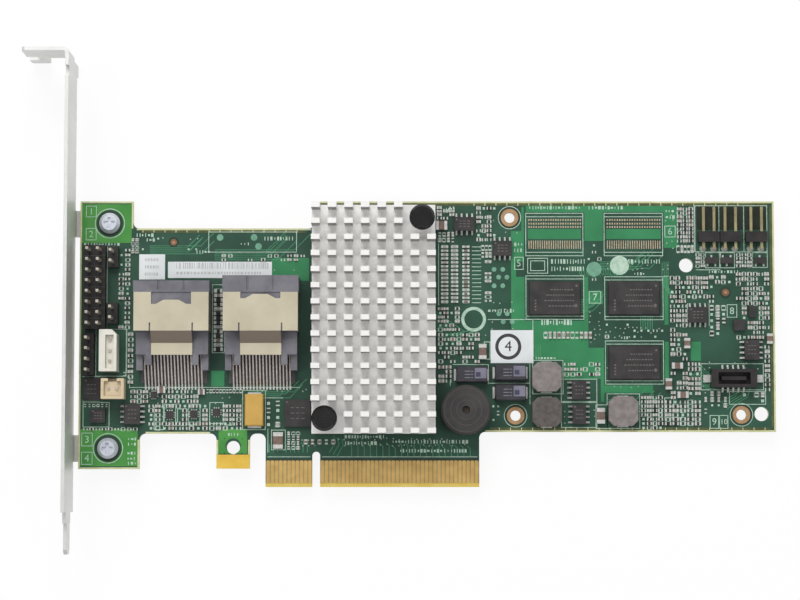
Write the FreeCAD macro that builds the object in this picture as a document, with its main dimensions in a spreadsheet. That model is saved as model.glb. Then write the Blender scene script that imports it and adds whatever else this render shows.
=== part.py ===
"""Low-profile eight-lane storage controller card on a full-height bracket.

The card lies flat. +X runs from the bracket to the far end, +Y from the card
edge to the top edge, +Z out of the component side. The origin is the centre of
the key notch at the tips of the edge contacts, half way through the board.
"""
import FreeCAD, Part
import os
import re
import Sketcher

V = FreeCAD.Vector

# Driving sizes in millimetres, one cell of the sheet for each.
SIZES = {
    # circuit board outline
    "board_thickness": 1.57,
    "board_left": -57.15,
    "board_right": 110.50,
    "board_top": 68.90,
    "recess_edge": 62.34,
    "recess_left": -44.37,
    "recess_right": -0.50,
    "foot_right": -42.49,
    "foot_low": 4.28,
    "foot_notch_edge": 12.80,
    "right_low_edge": 13.20,
    "inner_corner": 1.50,
    # retention tab beside the edge contacts
    "hook_left": -23.96,
    "hook_right": -15.94,
    "hook_low": 4.40,
    "hook_plating": 3.35,
    "hook_hole_x": -19.90,
    "hook_hole_y": 9.44,
    "hook_hole_bore": 3.20,
    # card edge
    "edge_left": -12.15,
    "edge_right": 39.15,
    "key_width": 1.90,
    "key_depth": 8.45,
    "edge_bevel_depth": 0.45,
    "edge_bevel_length": 0.90,
    "contact_pitch": 1.00,
    "contact_width": 0.70,
    "contact_top": 6.35,
    "contact_plating": 0.05,
    "short_row_count": 11,
    "long_row_count": 38,
    "key_to_contact": 1.50,
    # holes through the board
    "bracket_hole_x": -50.00,
    "bracket_hole_low_y": 9.25,
    "bracket_hole_high_y": 63.55,
    "bracket_hole_bore": 3.20,
    "standoff_bore": 3.40,
    "standoff_high_x": 89.20,
    "standoff_high_y": 53.40,
    "standoff_low_x": 107.05,
    "standoff_low_y": 17.50,
    "plated_bore": 2.50,
    "plated_left_x": 47.90,
    "plated_left_y": 17.10,
    "plated_right_x": 102.20,
    "plated_right_y": 17.30,
    "plated_top_x": 46.60,
    "plated_top_y": 64.95,
    "solder_gap": 0.02,
    # mounting bracket, folded from one sheet
    "sheet": 0.86,
    "bracket_gap": 1.25,
    "bracket_length": 120.00,
    "bracket_low": -15.90,
    "bracket_front": 15.90,
    "bracket_shoulder_back": -2.60,
    "bracket_back": 0.00,
    "bracket_shoulder": 4.50,
    "bracket_bend": 1.20,
    "tab_reach": 11.30,
    "tab_waist_back": 4.90,
    "tab_ear_reach": 6.50,
    "tab_notch_width": 4.40,
    "tab_notch_depth": 3.60,
    "tab_notch_middle": 4.10,
    "tab_corner": 1.20,
    "edge_notch_drop": 4.30,
    "edge_notch_length": 2.50,
    "edge_notch_depth": 2.00,
    "neck_high": -6.00,
    "neck_low": -8.60,
    "neck_front": 12.60,
    "neck_back": 4.60,
    "tongue_front": 10.60,
    "tongue_back": 5.40,
    "tongue_taper": 1.20,
    "flange_width": 6.40,
    "flange_reach": 3.60,
    "flange_bore": 3.00,
    # pan-head screws
    "screw_head": 5.00,
    "screw_head_height": 1.90,
    "screw_shank": 2.90,
    "screw_length": 4.20,
    "screw_cross": 2.60,
    "screw_cross_width": 0.75,
    "screw_cross_depth": 1.10,
    # controller chip and heatsink
    "cooled_x": 13.80,
    "cooled_y": 40.10,
    "processor_side": 27.00,
    "processor_height": 1.70,
    "processor_lid_side": 23.00,
    "processor_lid_height": 0.60,
    "pad_side": 22.00,
    "pad_height": 0.30,
    "sink_width": 29.60,
    "sink_length": 54.80,
    "sink_base": 2.50,
    "sink_height": 9.30,
    "fin_width": 2.05,
    "fin_length": 1.25,
    "fin_columns": 8,
    "fin_rows": 15,
    "pin_corner_columns": 2,
    "pin_corner_rows": 2,
    # push pins that hold the heatsink
    "push_pin_inset_x": 3.20,
    "push_pin_inset_y": 3.50,
    "push_pin_cap": 6.10,
    "push_pin_cap_height": 1.60,
    "push_pin_stem": 2.60,
    "push_pin_bore": 3.20,
    "push_pin_barb": 3.80,
    "push_pin_barb_length": 1.90,
    "push_pin_top": 9.60,
    # right-angle ports for internal storage cables
    "port_x_1": -34.25,
    "port_x_2": -13.05,
    "port_front_1": 48.95,
    "port_front_2": 50.20,
    "port_width": 18.10,
    "port_height": 9.50,
    "port_rear": 31.50,
    "shell_front": 46.20,
    "shell_length": 9.20,
    "shell_width": 17.80,
    "shell_sheet": 0.30,
    "latch_width": 9.50,
    "latch_depth_1": 2.85,
    "latch_depth_2": 1.50,
    "latch_bump": 3.60,
    "latch_bump_depth": 1.00,
    "shell_slit": 0.35,
    "shell_slit_length": 1.90,
    "shell_tongue": 9.80,
    "shell_tongue_reach": 5.60,
    "shell_tongue_drop": 2.60,
    "cavity_width": 15.80,
    "cavity_height": 6.90,
    "cavity_floor": 1.30,
    "cavity_depth": 10.20,
    "nose_width": 14.80,
    "nose_height": 3.20,
    "nose_setback": 4.80,
    "nose_slot": 1.10,
    "nose_slot_width": 13.60,
    "rear_height": 6.40,
    "arm_outer": 8.60,
    "arm_width": 1.50,
    "arm_step": 2.25,
    "arm_reach": 3.70,
    "arm_inner_reach": 2.50,
    "arm_height": 5.00,
    "port_lead_count": 18,
    "port_lead_pitch": 0.80,
    "port_lead_width": 0.32,
    "port_lead_sheet": 0.20,
    "port_lead_high": 4.60,
    "port_lead_tip": 24.15,
    # pin headers
    "pin_pitch": 2.54,
    "pin_side": 0.64,
    "pin_top": 8.60,
    "pin_tail": 0.90,
    "header_width": 2.50,
    "header_height": 2.50,
    "jumper_x": -53.25,
    "jumper_y": 47.95,
    "jumper_count": 8,
    "pair_x": -48.95,
    "pair_high_y": 55.20,
    "pair_low_y": 41.65,
    "quad_x": -54.60,
    "quad_y": 31.75,
    "quad_count": 4,
    # locking connector with three ways
    "lock_x": -49.62,
    "lock_y": 32.55,
    "lock_width": 4.20,
    "lock_length": 10.00,
    "lock_height": 5.80,
    "lock_wall": 0.70,
    "lock_floor": 1.40,
    "lock_pitch": 2.50,
    "lock_ways": 3,
    "lock_corner": 1.20,
    "lock_tongue": 0.80,
    "lock_pin_top": 5.00,
    # small two-way socket
    "socket_x": -48.60,
    "socket_y": 23.45,
    "socket_width": 5.50,
    "socket_length": 4.90,
    "socket_height": 4.60,
    "socket_wall": 0.70,
    "socket_floor": 1.20,
    "socket_mouth": 2.20,
    "socket_pitch": 2.00,
    # right-angle activity headers
    "activity_x_1": 94.55,
    "activity_x_2": 99.75,
    "activity_x_3": 106.00,
    "activity_front": 61.40,
    "activity_depth": 2.54,
    "activity_height": 2.50,
    "activity_pin_tip": 67.40,
    "activity_pin_drop": 57.50,
    "activity_pin_height": 1.60,
    # battery lead connector
    "battery_x": 100.20,
    "battery_y": 26.00,
    "battery_width": 10.90,
    "battery_depth": 4.40,
    "battery_height": 3.40,
    "battery_wall": 0.80,
    "battery_end_wall": 1.60,
    "battery_slot": 2.60,
    "battery_tongue": 0.90,
    "battery_tongue_height": 1.70,
    "battery_ear_reach": 1.70,
    "battery_ear_depth": 1.80,
    "battery_ear_height": 0.50,
    "battery_lead_count": 5,
    "battery_lead_pitch": 1.27,
    "battery_lead_width": 0.42,
    "battery_lead_reach": 1.10,
    "battery_lead_rise": 1.10,
    "battery_lead_sheet": 0.25,
    # sounder
    "sounder_x": 35.85,
    "sounder_y": 18.30,
    "sounder_diameter": 11.90,
    "sounder_height": 7.20,
    "sounder_hole": 1.80,
    "sounder_hole_depth": 2.00,
    "sounder_edge": 0.50,
    # power parts
    "choke_side": 7.00,
    "choke_height": 3.60,
    "choke_corner": 1.30,
    "choke_1_x": 55.30,
    "choke_1_y": 26.30,
    "choke_2_x": 73.60,
    "choke_2_y": 18.10,
    "choke_3_x": 55.30,
    "choke_3_y": 17.90,
    "bulk_length": 7.40,
    "bulk_width": 3.80,
    "bulk_height": 2.80,
    "bulk_1_x": 37.30,
    "bulk_1_y": 26.90,
    "bulk_2_x": 46.60,
    "bulk_2_y": 27.40,
    "bulk_3_x": 46.60,
    "bulk_3_y": 22.60,
    "amber_x": -14.85,
    "amber_y": 18.40,
    "amber_width": 4.40,
    "amber_length": 7.60,
    "amber_height": 2.90,
    "mould_chamfer": 0.25,
    # chips
    "memory_length": 12.50,
    "memory_width": 8.20,
    "memory_height": 1.10,
    "memory_1_x": 57.40,
    "memory_1_y": 45.35,
    "memory_2_x": 76.50,
    "memory_2_y": 45.35,
    "memory_3_x": 76.50,
    "memory_3_y": 29.80,
    "chip_height": 1.60,
    "chip_standoff": 0.10,
    "chip_lead_pitch": 1.27,
    "chip_lead_margin": 0.40,
    "chip_lead_width": 0.42,
    "chip_lead_sheet": 0.20,
    "chip_lead_reach": 1.00,
    "flat_chip_height": 1.20,
    "regulator_y": 54.50,
    "regulator_width": 3.00,
    "regulator_depth": 1.50,
    "regulator_height": 1.00,
    "regulator_pitch": 1.90,
    "regulator_lead_reach": 0.60,
    "ceramic_height": 1.20,
    "label_thickness": 0.10,
}

# Small-outline chips: centre, body size, leads on each long side, and whether
# the rows of leads stand at the ends in X (True) or in Y.
OUTLINE_CHIPS = [
    (35.65, 63.30, 4.90, 3.30, 4, False),
    (44.80, 57.40, 4.50, 3.60, 4, False),
    (63.10, 23.20, 3.50, 4.50, 4, True),
    (63.10, 17.40, 3.20, 4.70, 4, True),
    (91.80, 41.30, 4.50, 3.80, 4, False),
    (104.70, 32.90, 3.60, 4.80, 4, True),
    (-44.15, 17.45, 3.90, 4.90, 4, True),
]

# Flat square chips without visible leads: centre and size.
FLAT_CHIPS = [
    (-53.95, 23.45, 4.00, 5.30),
    (-52.40, 17.05, 3.50, 3.40),
    (-4.45, 17.70, 6.30, 6.50),
    (104.95, 42.10, 1.70, 2.80),
    (101.75, 38.85, 2.80, 2.60),
]

# Three-lead regulators in a row near the activity headers: centre in X, and
# the side with the pair of leads (-1 towards the card edge).
REGULATORS = [(95.30, -1), (99.00, 1), (106.95, -1)]

# Ceramic capacitors: centre, width along X and length along Y.
CERAMICS = [
    (-9.15, 11.15, 2.30, 3.90),
    (68.35, 17.05, 1.90, 3.70),
    (40.00, 32.50, 1.80, 3.60),
    (2.40, 66.30, 3.60, 1.80),
    (30.15, 63.00, 2.70, 2.10),
    (-37.20, 23.30, 1.90, 1.60),
    (-27.60, 22.80, 1.60, 1.30),
    (84.70, 24.70, 1.50, 2.60),
    (88.10, 22.10, 2.60, 1.50),
    (86.80, 29.10, 2.60, 1.40),
    (89.20, 34.50, 1.40, 2.40),
    (109.10, 35.60, 1.30, 2.40),
]

# Paper labels on the component side: left, low, right and high edge.
LABELS = [
    (-42.85, 49.95, -36.60, 56.05),
    (-35.90, 50.30, -10.80, 54.25),
    (41.95, 29.75, 52.25, 37.70),
]

doc = FreeCAD.newDocument("controller_card")
sheet = doc.addObject("Spreadsheet::Sheet", "Sizes")
for row, (alias, size) in enumerate(SIZES.items(), 1):
    sheet.set("A%d" % row, alias)
    sheet.set("B%d" % row, str(size))
    sheet.setAlias("B%d" % row, alias)
doc.recompute()

parts = []


def bound(formula):
    """The formula as other objects read it, with each word a cell of the sheet."""
    return re.sub(r"[a-z_][a-z_0-9]*", lambda word: "Sizes." + word.group(), formula)


def size(formula):
    """The number that a formula of the sheet's words gives."""
    return float(sheet.evalExpression(formula))


def keep(piece):
    """Puts a finished piece on the list of those that are written."""
    parts.append(piece)
    return piece


# Helpers for bodies made from sketches.

def new_body(name):
    body = doc.addObject("PartDesign::Body", name)
    body.Label = name
    return keep(body)


def origin_item(body, role):
    return [item for item in body.Origin.OriginFeatures if item.Role == role][0]


def sketch(body, role, start, shift="0"):
    """A sketch on an origin plane, moved to start on that plane's axis and by shift along its own X."""
    drawing = body.newObject("Sketcher::SketchObject", body.Name + "_sketch")
    drawing.AttachmentSupport = [(origin_item(body, role), "")]
    drawing.MapMode = "FlatFace"
    along = "-(%s)" if role == "XZ_Plane" else "%s"
    drawing.setExpression("AttachmentOffset.Base.z", bound(along % start))
    drawing.setExpression("AttachmentOffset.Base.x", bound(shift))
    return drawing


def pin_down(drawing, curve, point, x, y):
    """Ties one point of a curve to formulas for its two coordinates."""
    for kind, formula, axis in (("DistanceX", x, -2), ("DistanceY", y, -1)):
        place = size(formula)
        if abs(place) < 1e-9:
            drawing.addConstraint(Sketcher.Constraint("PointOnObject", curve, point, axis))
            continue
        number = drawing.addConstraint(Sketcher.Constraint(kind, -1, 1, curve, point, place))
        drawing.setExpression("Constraints[%d]" % number, bound(formula))


def polygon(drawing, corners):
    """A closed outline of straight lines through corners given as formulas."""
    places = [V(size(x), size(y), 0) for x, y in corners]
    first = len(drawing.Geometry)
    count = len(corners)
    for number in range(count):
        line = Part.LineSegment(places[number], places[(number + 1) % count])
        drawing.addGeometry(line, False)
    for number in range(count):
        following = first + (number + 1) % count
        drawing.addConstraint(Sketcher.Constraint("Coincident", first + number, 2, following, 1))
    for number, (x, y) in enumerate(corners):
        pin_down(drawing, first + number, 1, x, y)
    return drawing


def rectangle(drawing, left, low, right, high):
    return polygon(drawing, [(left, low), (right, low), (right, high), (left, high)])


def centred(drawing, x, y, width, height):
    """A rectangle about a centre."""
    return rectangle(drawing, "%s - (%s) / 2" % (x, width), "%s - (%s) / 2" % (y, height),
                     "%s + (%s) / 2" % (x, width), "%s + (%s) / 2" % (y, height))


def circle(drawing, x, y, diameter):
    ring = Part.Circle(V(size(x), size(y), 0), V(0, 0, 1), size(diameter) / 2)
    curve = drawing.addGeometry(ring, False)
    pin_down(drawing, curve, 3, x, y)
    number = drawing.addConstraint(Sketcher.Constraint("Radius", curve, size(diameter) / 2))
    drawing.setExpression("Constraints[%d]" % number, bound("(%s) / 2" % diameter))
    return drawing


def pad(body, drawing, length):
    """Raises a sketch towards the positive end of its axis."""
    feature = body.newObject("PartDesign::Pad", body.Name + "_pad")
    feature.Profile = drawing
    feature.setExpression("Length", bound(length))
    feature.Reversed = on_xz(drawing)
    doc.recompute()
    return feature


def cut(body, drawing, length):
    """Cuts a sketch towards the positive end of its axis."""
    feature = body.newObject("PartDesign::Pocket", body.Name + "_cut")
    feature.Profile = drawing
    feature.setExpression("Length", bound(length))
    feature.Reversed = not on_xz(drawing)
    doc.recompute()
    return feature


def turned(body, x, y, profile):
    """Turns a profile of (radius, height) corners round an upright axis at (x, y)."""
    drawing = polygon(sketch(body, "YZ_Plane", x, y), profile)
    feature = body.newObject("PartDesign::Revolution", body.Name + "_turned")
    feature.Profile = drawing
    feature.ReferenceAxis = (drawing, ["V_Axis"])
    feature.Angle = 360
    doc.recompute()
    return feature


def on_xz(drawing):
    return drawing.AttachmentSupport[0][0].Role == "XZ_Plane"


def pattern(body, feature, role, pitch, count):
    """Repeats a feature at a pitch along one of the origin's axes."""
    row = body.newObject("PartDesign::LinearPattern", body.Name + "_pattern")
    row.Originals = [feature]
    row.Direction = (origin_item(body, role), [""])
    row.Mode = "Spacing"
    row.setExpression("Offset", bound(pitch))
    row.setExpression("Occurrences", bound(count))
    body.Tip = row
    doc.recompute()
    return row


def grid_of(body, grid, make):
    """Makes a feature at the first place of each column of a grid and repeats it along Y."""
    x, y, pitch_x, columns, pitch_y, rows = grid
    first_y = "%s - (%s) * (%s - 1) / 2" % (y, pitch_y, rows)
    for column in range(int(size(columns))):
        offset = column - (size(columns) - 1) / 2
        feature = make("%s + (%s) * %s" % (x, pitch_x, offset), first_y)
        if rows != "1":
            feature = pattern(body, feature, "Y_Axis", pitch_y, rows)
    return feature


def edge_names(shape, wanted):
    """Names of the edges whose two ends both satisfy a test."""
    found = []
    for number, edge in enumerate(shape.Edges, 1):
        ends = [vertex.Point for vertex in edge.Vertexes]
        if len(ends) == 2 and wanted(ends[0], ends[1]):
            found.append("Edge%d" % number)
    return found


def dress(body, kind, amount, wanted):
    """Rounds (Fillet) or bevels (Chamfer) the edges that satisfy a test."""
    base = body.Tip
    feature = body.newObject("PartDesign::" + kind, body.Name + "_" + kind.lower())
    feature.Base = (base, edge_names(base.Shape, wanted))
    feature.setExpression("Radius" if kind == "Fillet" else "Size", bound(amount))
    body.Tip = feature
    doc.recompute()
    return feature


def upright_at(places):
    """A test for edges along Z that stand at one of the places (x, y)."""
    def wanted(one, other):
        if abs(one.x - other.x) + abs(one.y - other.y) > 1e-6:
            return False
        return any(abs(one.x - x) + abs(one.y - y) < 1e-4 for x, y in places)
    return wanted


def level_at(height):
    """A test for edges that lie level at a height."""
    return lambda one, other: abs(one.z - height) < 1e-5 and abs(other.z - height) < 1e-5


TOP = "board_thickness / 2"
UNDER = "-board_thickness / 2"


def above(formula):
    """A height measured from the component side."""
    return "board_thickness / 2 + %s" % formula


# Helpers for small solids that are repeated in irregular places.

def block(x, y, z, width, depth, height):
    """A box about a centre in X and Y that stands on the height z."""
    return Part.makeBox(width, depth, height, V(x - width / 2, y - depth / 2, z))


def prism(corners, direction):
    """A flat polygon drawn out along a direction."""
    return Part.Face(Part.makePolygon(corners + corners[:1])).extrude(direction)


def group(name, solids):
    """Several separate solids that share one piece."""
    piece = doc.addObject("Part::Feature", name)
    piece.Label = name
    piece.Shape = Part.makeCompound(solids)
    piece.Placement = FreeCAD.Placement()
    return keep(piece)


# Circuit board: outline with its notches, then the slots and drilled holes.

def circuit_board():
    body = new_body("circuit_board")
    outline = polygon(sketch(body, "XY_Plane", UNDER), [
        ("board_left", "foot_low"), ("foot_right", "foot_low"),
        ("foot_right", "foot_notch_edge"), ("hook_left", "foot_notch_edge"),
        ("hook_left", "hook_low"), ("hook_right", "hook_low"),
        ("hook_right", "foot_notch_edge"), ("edge_left", "foot_notch_edge"),
        ("edge_left", "0"), ("edge_right", "0"),
        ("edge_right", "right_low_edge"), ("board_right", "right_low_edge"),
        ("board_right", "board_top"), ("recess_right", "board_top"),
        ("recess_right", "recess_edge"), ("recess_left", "recess_edge"),
        ("recess_left", "board_top"), ("board_left", "board_top")])
    pad(body, outline, "board_thickness")
    notch_edge = size("foot_notch_edge")
    inner = [(size("foot_right"), notch_edge), (size("hook_left"), notch_edge),
             (size("recess_left"), size("recess_edge")), (size("recess_right"), size("recess_edge")),
             (size("edge_right"), size("right_low_edge")),
             (size("hook_right"), notch_edge), (size("edge_left"), notch_edge)]
    dress(body, "Fillet", "inner_corner", upright_at(inner))
    key = rectangle(sketch(body, "XY_Plane", UNDER), "-key_width / 2", "-key_width",
                    "key_width / 2", "key_depth - key_width / 2")
    cut(body, key, "board_thickness")
    cut(body, circle(sketch(body, "XY_Plane", UNDER), "0", "key_depth - key_width / 2", "key_width"),
        "board_thickness")
    bevels = sketch(body, "YZ_Plane", "edge_left - edge_bevel_length")
    for side in ("", "-"):
        face = side + "(board_thickness / 2)"
        tip = side + "(board_thickness / 2 - edge_bevel_depth)"
        polygon(bevels, [("0", face), ("edge_bevel_length", face), ("0", tip)])
    cut(body, bevels, "edge_right - edge_left + 2 * edge_bevel_length")
    drill(body, [
        ("hook_hole_x", "hook_hole_y", "hook_hole_bore"),
        ("bracket_hole_x", "bracket_hole_low_y", "bracket_hole_bore"),
        ("bracket_hole_x", "bracket_hole_high_y", "bracket_hole_bore"),
        ("standoff_high_x", "standoff_high_y", "standoff_bore"),
        ("standoff_low_x", "standoff_low_y", "standoff_bore"),
        ("plated_left_x", "plated_left_y", "plated_bore"),
        ("plated_right_x", "plated_right_y", "plated_bore"),
        ("plated_top_x", "plated_top_y", "plated_bore")])
    drill(body, [(x, y, "push_pin_bore") for x, y in push_pin_places()])
    for grid in lead_grids():
        grid_of(body, grid, lambda x, y: lead_passage(body, x, y, UNDER, "board_thickness"))


def drill(body, holes):
    """Drills round holes through the whole board."""
    drawing = sketch(body, "XY_Plane", UNDER)
    for x, y, bore in holes:
        circle(drawing, x, y, bore)
    return cut(body, drawing, "board_thickness")


def lead_passage(body, x, y, low, depth):
    """A square passage for a pin: what its round hole leaves open once the solder has filled it."""
    side = "pin_side + solder_gap"
    return cut(body, centred(sketch(body, "XY_Plane", low), x, y, side, side), depth)


def push_pin_places():
    """The push pins stand in two opposite corners of the heatsink."""
    return [("cooled_x + sink_width / 2 - push_pin_inset_x", "cooled_y + sink_length / 2 - push_pin_inset_y"),
            ("cooled_x - sink_width / 2 + push_pin_inset_x", "cooled_y - sink_length / 2 + push_pin_inset_y")]


def lead_grids():
    """Centre, pitch and count in X and Y of every group of pins through the board."""
    return [
        ("jumper_x", "jumper_y", "pin_pitch", "2", "pin_pitch", "jumper_count"),
        ("pair_x", "pair_high_y", "pin_pitch", "1", "pin_pitch", "2"),
        ("pair_x", "pair_low_y", "pin_pitch", "1", "pin_pitch", "2"),
        ("quad_x", "quad_y", "pin_pitch", "1", "pin_pitch", "quad_count"),
        ("lock_x + lock_tongue / 2", "lock_y", "lock_pitch", "1", "lock_pitch", "lock_ways"),
        ("socket_x", "socket_y", "socket_pitch", "2", "socket_pitch", "1"),
        ("activity_x_1", "activity_pin_drop", "pin_pitch", "2", "pin_pitch", "1"),
        ("activity_x_2", "activity_pin_drop", "pin_pitch", "2", "pin_pitch", "1"),
        ("activity_x_3", "activity_pin_drop", "pin_pitch", "2", "pin_pitch", "1"),
    ]


# Gold contacts on both faces of the card edge, in a short and a long row.

def edge_contacts():
    body = new_body("edge_contacts")
    rows = [("-key_to_contact - contact_pitch * (short_row_count - 1)", "short_row_count"),
            ("key_to_contact", "long_row_count")]
    for face in (TOP, UNDER + " - contact_plating"):
        for first, count in rows:
            finger = rectangle(sketch(body, "XY_Plane", face), first + " - contact_width / 2",
                               "edge_bevel_length", first + " + contact_width / 2", "contact_top")
            plate = pad(body, finger, "contact_plating")
            pattern(body, plate, "X_Axis", "contact_pitch", count)


def retention_pad():
    body = new_body("retention_pad")
    strip = rectangle(sketch(body, "XY_Plane", TOP), "hook_left", "hook_low",
                      "hook_right", "hook_low + hook_plating")
    pad(body, strip, "contact_plating")


# Bracket: plate across the card's end, tab at the top, two flanges under the board.

BRACKET_OUTER = "board_left - bracket_gap - sheet"
BRACKET_TOP = "bracket_low + bracket_length"


def mounting_bracket():
    body = new_body("mounting_bracket")
    notch_high = BRACKET_TOP + " - edge_notch_drop"
    notch_low = notch_high + " - edge_notch_length"
    plate = polygon(sketch(body, "YZ_Plane", BRACKET_OUTER), [
        ("bracket_low", "tongue_back + tongue_taper"), ("bracket_low + tongue_taper", "tongue_back"),
        ("neck_low", "tongue_back"), ("neck_low", "neck_back"), ("neck_high", "neck_back"),
        ("neck_high", "bracket_back"), (BRACKET_TOP + " - bracket_shoulder", "bracket_back"),
        (BRACKET_TOP + " - bracket_shoulder", "bracket_shoulder_back"),
        (BRACKET_TOP, "bracket_shoulder_back"), (BRACKET_TOP, "bracket_front"),
        (notch_high, "bracket_front"), (notch_high, "bracket_front - edge_notch_depth"),
        (notch_low, "bracket_front - edge_notch_depth"), (notch_low, "bracket_front"),
        ("neck_high", "bracket_front"), ("neck_high", "neck_front"), ("neck_low", "neck_front"),
        ("neck_low", "tongue_front"), ("bracket_low + tongue_taper", "tongue_front"),
        ("bracket_low", "tongue_front - tongue_taper")])
    pad(body, plate, "sheet")
    tab_end = BRACKET_OUTER + " - tab_reach + sheet"
    ear = BRACKET_OUTER + " - tab_ear_reach + sheet"
    mouth = "tab_notch_middle - tab_notch_width / 2"
    mouth_top = "tab_notch_middle + tab_notch_width / 2"
    bottom = tab_end + " + tab_notch_depth"
    tab = polygon(sketch(body, "XZ_Plane", BRACKET_TOP + " - sheet"), [
        (BRACKET_OUTER + " + sheet", "bracket_front"), (tab_end, "bracket_front"),
        (tab_end, mouth_top), (bottom, mouth_top), (bottom, mouth), (tab_end, mouth),
        (tab_end, "bracket_shoulder_back"), (ear, "bracket_shoulder_back"),
        (ear, "tab_waist_back"), (BRACKET_OUTER, "tab_waist_back"),
        (BRACKET_OUTER + " + sheet", "tab_waist_back")])
    pad(body, tab, "sheet")
    relief = rectangle(sketch(body, "YZ_Plane", BRACKET_OUTER), BRACKET_TOP + " - 2 * sheet",
                       "bracket_shoulder_back - sheet", BRACKET_TOP + " + sheet", "tab_waist_back")
    cut(body, relief, "sheet")
    for y in ("bracket_hole_low_y", "bracket_hole_high_y"):
        leg = rectangle(sketch(body, "YZ_Plane", BRACKET_OUTER), y + " - flange_width / 2",
                        UNDER + " - sheet", y + " + flange_width / 2", "bracket_back + sheet")
        pad(body, leg, "sheet")
        flange = rectangle(sketch(body, "XY_Plane", UNDER + " - sheet"), BRACKET_OUTER,
                           y + " - flange_width / 2", "bracket_hole_x + flange_reach",
                           y + " + flange_width / 2")
        pad(body, flange, "sheet")
        hole = circle(sketch(body, "XY_Plane", UNDER + " - sheet"), "bracket_hole_x", y, "flange_bore")
        cut(body, hole, "sheet")
    outer = size(BRACKET_OUTER)
    top = size(BRACKET_TOP)
    foot = size(UNDER + " - sheet")

    def outer_bend(one, other):
        top_fold = all(abs(p.x - outer - size("sheet")) + abs(p.y - top) < 1e-5 for p in (one, other))
        low_fold = all(abs(p.x - outer) + abs(p.z - foot) < 1e-5 for p in (one, other))
        return top_fold or low_fold

    def inner_bend(one, other):
        inside = outer + size("sheet")
        top_fold = all(abs(p.x - outer) + abs(p.y - top + size("sheet")) < 1e-5 for p in (one, other))
        low_fold = all(abs(p.x - inside) + abs(p.z - size(UNDER)) < 1e-5 for p in (one, other))
        return top_fold or low_fold

    dress(body, "Fillet", "bracket_bend", outer_bend)
    dress(body, "Fillet", "bracket_bend - sheet", inner_bend)
    ear_x = size(ear)
    end_x = size(tab_end)

    def tab_corner(one, other):
        across = abs(one.x - other.x) + abs(one.z - other.z) < 1e-6
        at_end = abs(one.x - end_x) < 1e-5 and abs(one.z - size("bracket_front")) < 1e-5
        low = abs(one.z - size("bracket_shoulder_back")) < 1e-5
        at_ear = low and (abs(one.x - ear_x) < 1e-5 or abs(one.x - end_x) < 1e-5)
        return across and (at_end or at_ear)

    def notch_corner(one, other):
        across = abs(one.x - other.x) + abs(one.z - other.z) < 1e-6
        sides = (size(mouth), size(mouth_top))
        return across and abs(one.x - size(bottom)) < 1e-5 and min(abs(one.z - z) for z in sides) < 1e-5

    dress(body, "Fillet", "tab_corner", tab_corner)
    dress(body, "Fillet", "tab_notch_width * 0.45", notch_corner)


def bracket_screws():
    """Two pan-head screws with a cross recess, through the board into the flanges."""
    body = new_body("bracket_screws")
    head = "screw_head / 2"
    shank = "screw_shank / 2"
    tip = above("-screw_length")
    for y in ("bracket_hole_low_y", "bracket_hole_high_y"):
        turned(body, "bracket_hole_x", y, [
            ("0", tip), (shank, tip), (shank, TOP), (head, TOP), (head, above("screw_head_height * 0.45")),
            (head + " * 0.72", above("screw_head_height")), ("0", above("screw_head_height"))])
    for y in ("bracket_hole_low_y", "bracket_hole_high_y"):
        for width, height in (("screw_cross", "screw_cross_width"), ("screw_cross_width", "screw_cross")):
            arm = centred(sketch(body, "XY_Plane", above("screw_head_height - screw_cross_depth")),
                          "bracket_hole_x", y, width, height)
            cut(body, arm, "screw_cross_depth")


# Controller chip, thermal pad, and the cross-cut heatsink above them.

SINK_FLOOR = above("processor_height + processor_lid_height + pad_height")


def raid_processor():
    body = new_body("raid_processor")
    carrier = centred(sketch(body, "XY_Plane", TOP), "cooled_x", "cooled_y", "processor_side",
                      "processor_side")
    pad(body, carrier, "processor_height")
    lid = centred(sketch(body, "XY_Plane", above("processor_height")), "cooled_x", "cooled_y",
                  "processor_lid_side", "processor_lid_side")
    pad(body, lid, "processor_lid_height")


def thermal_pad():
    body = new_body("thermal_pad")
    sheet_of_pad = centred(sketch(body, "XY_Plane", above("processor_height + processor_lid_height")),
                           "cooled_x", "cooled_y", "pad_side", "pad_side")
    pad(body, sheet_of_pad, "pad_height")


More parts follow.
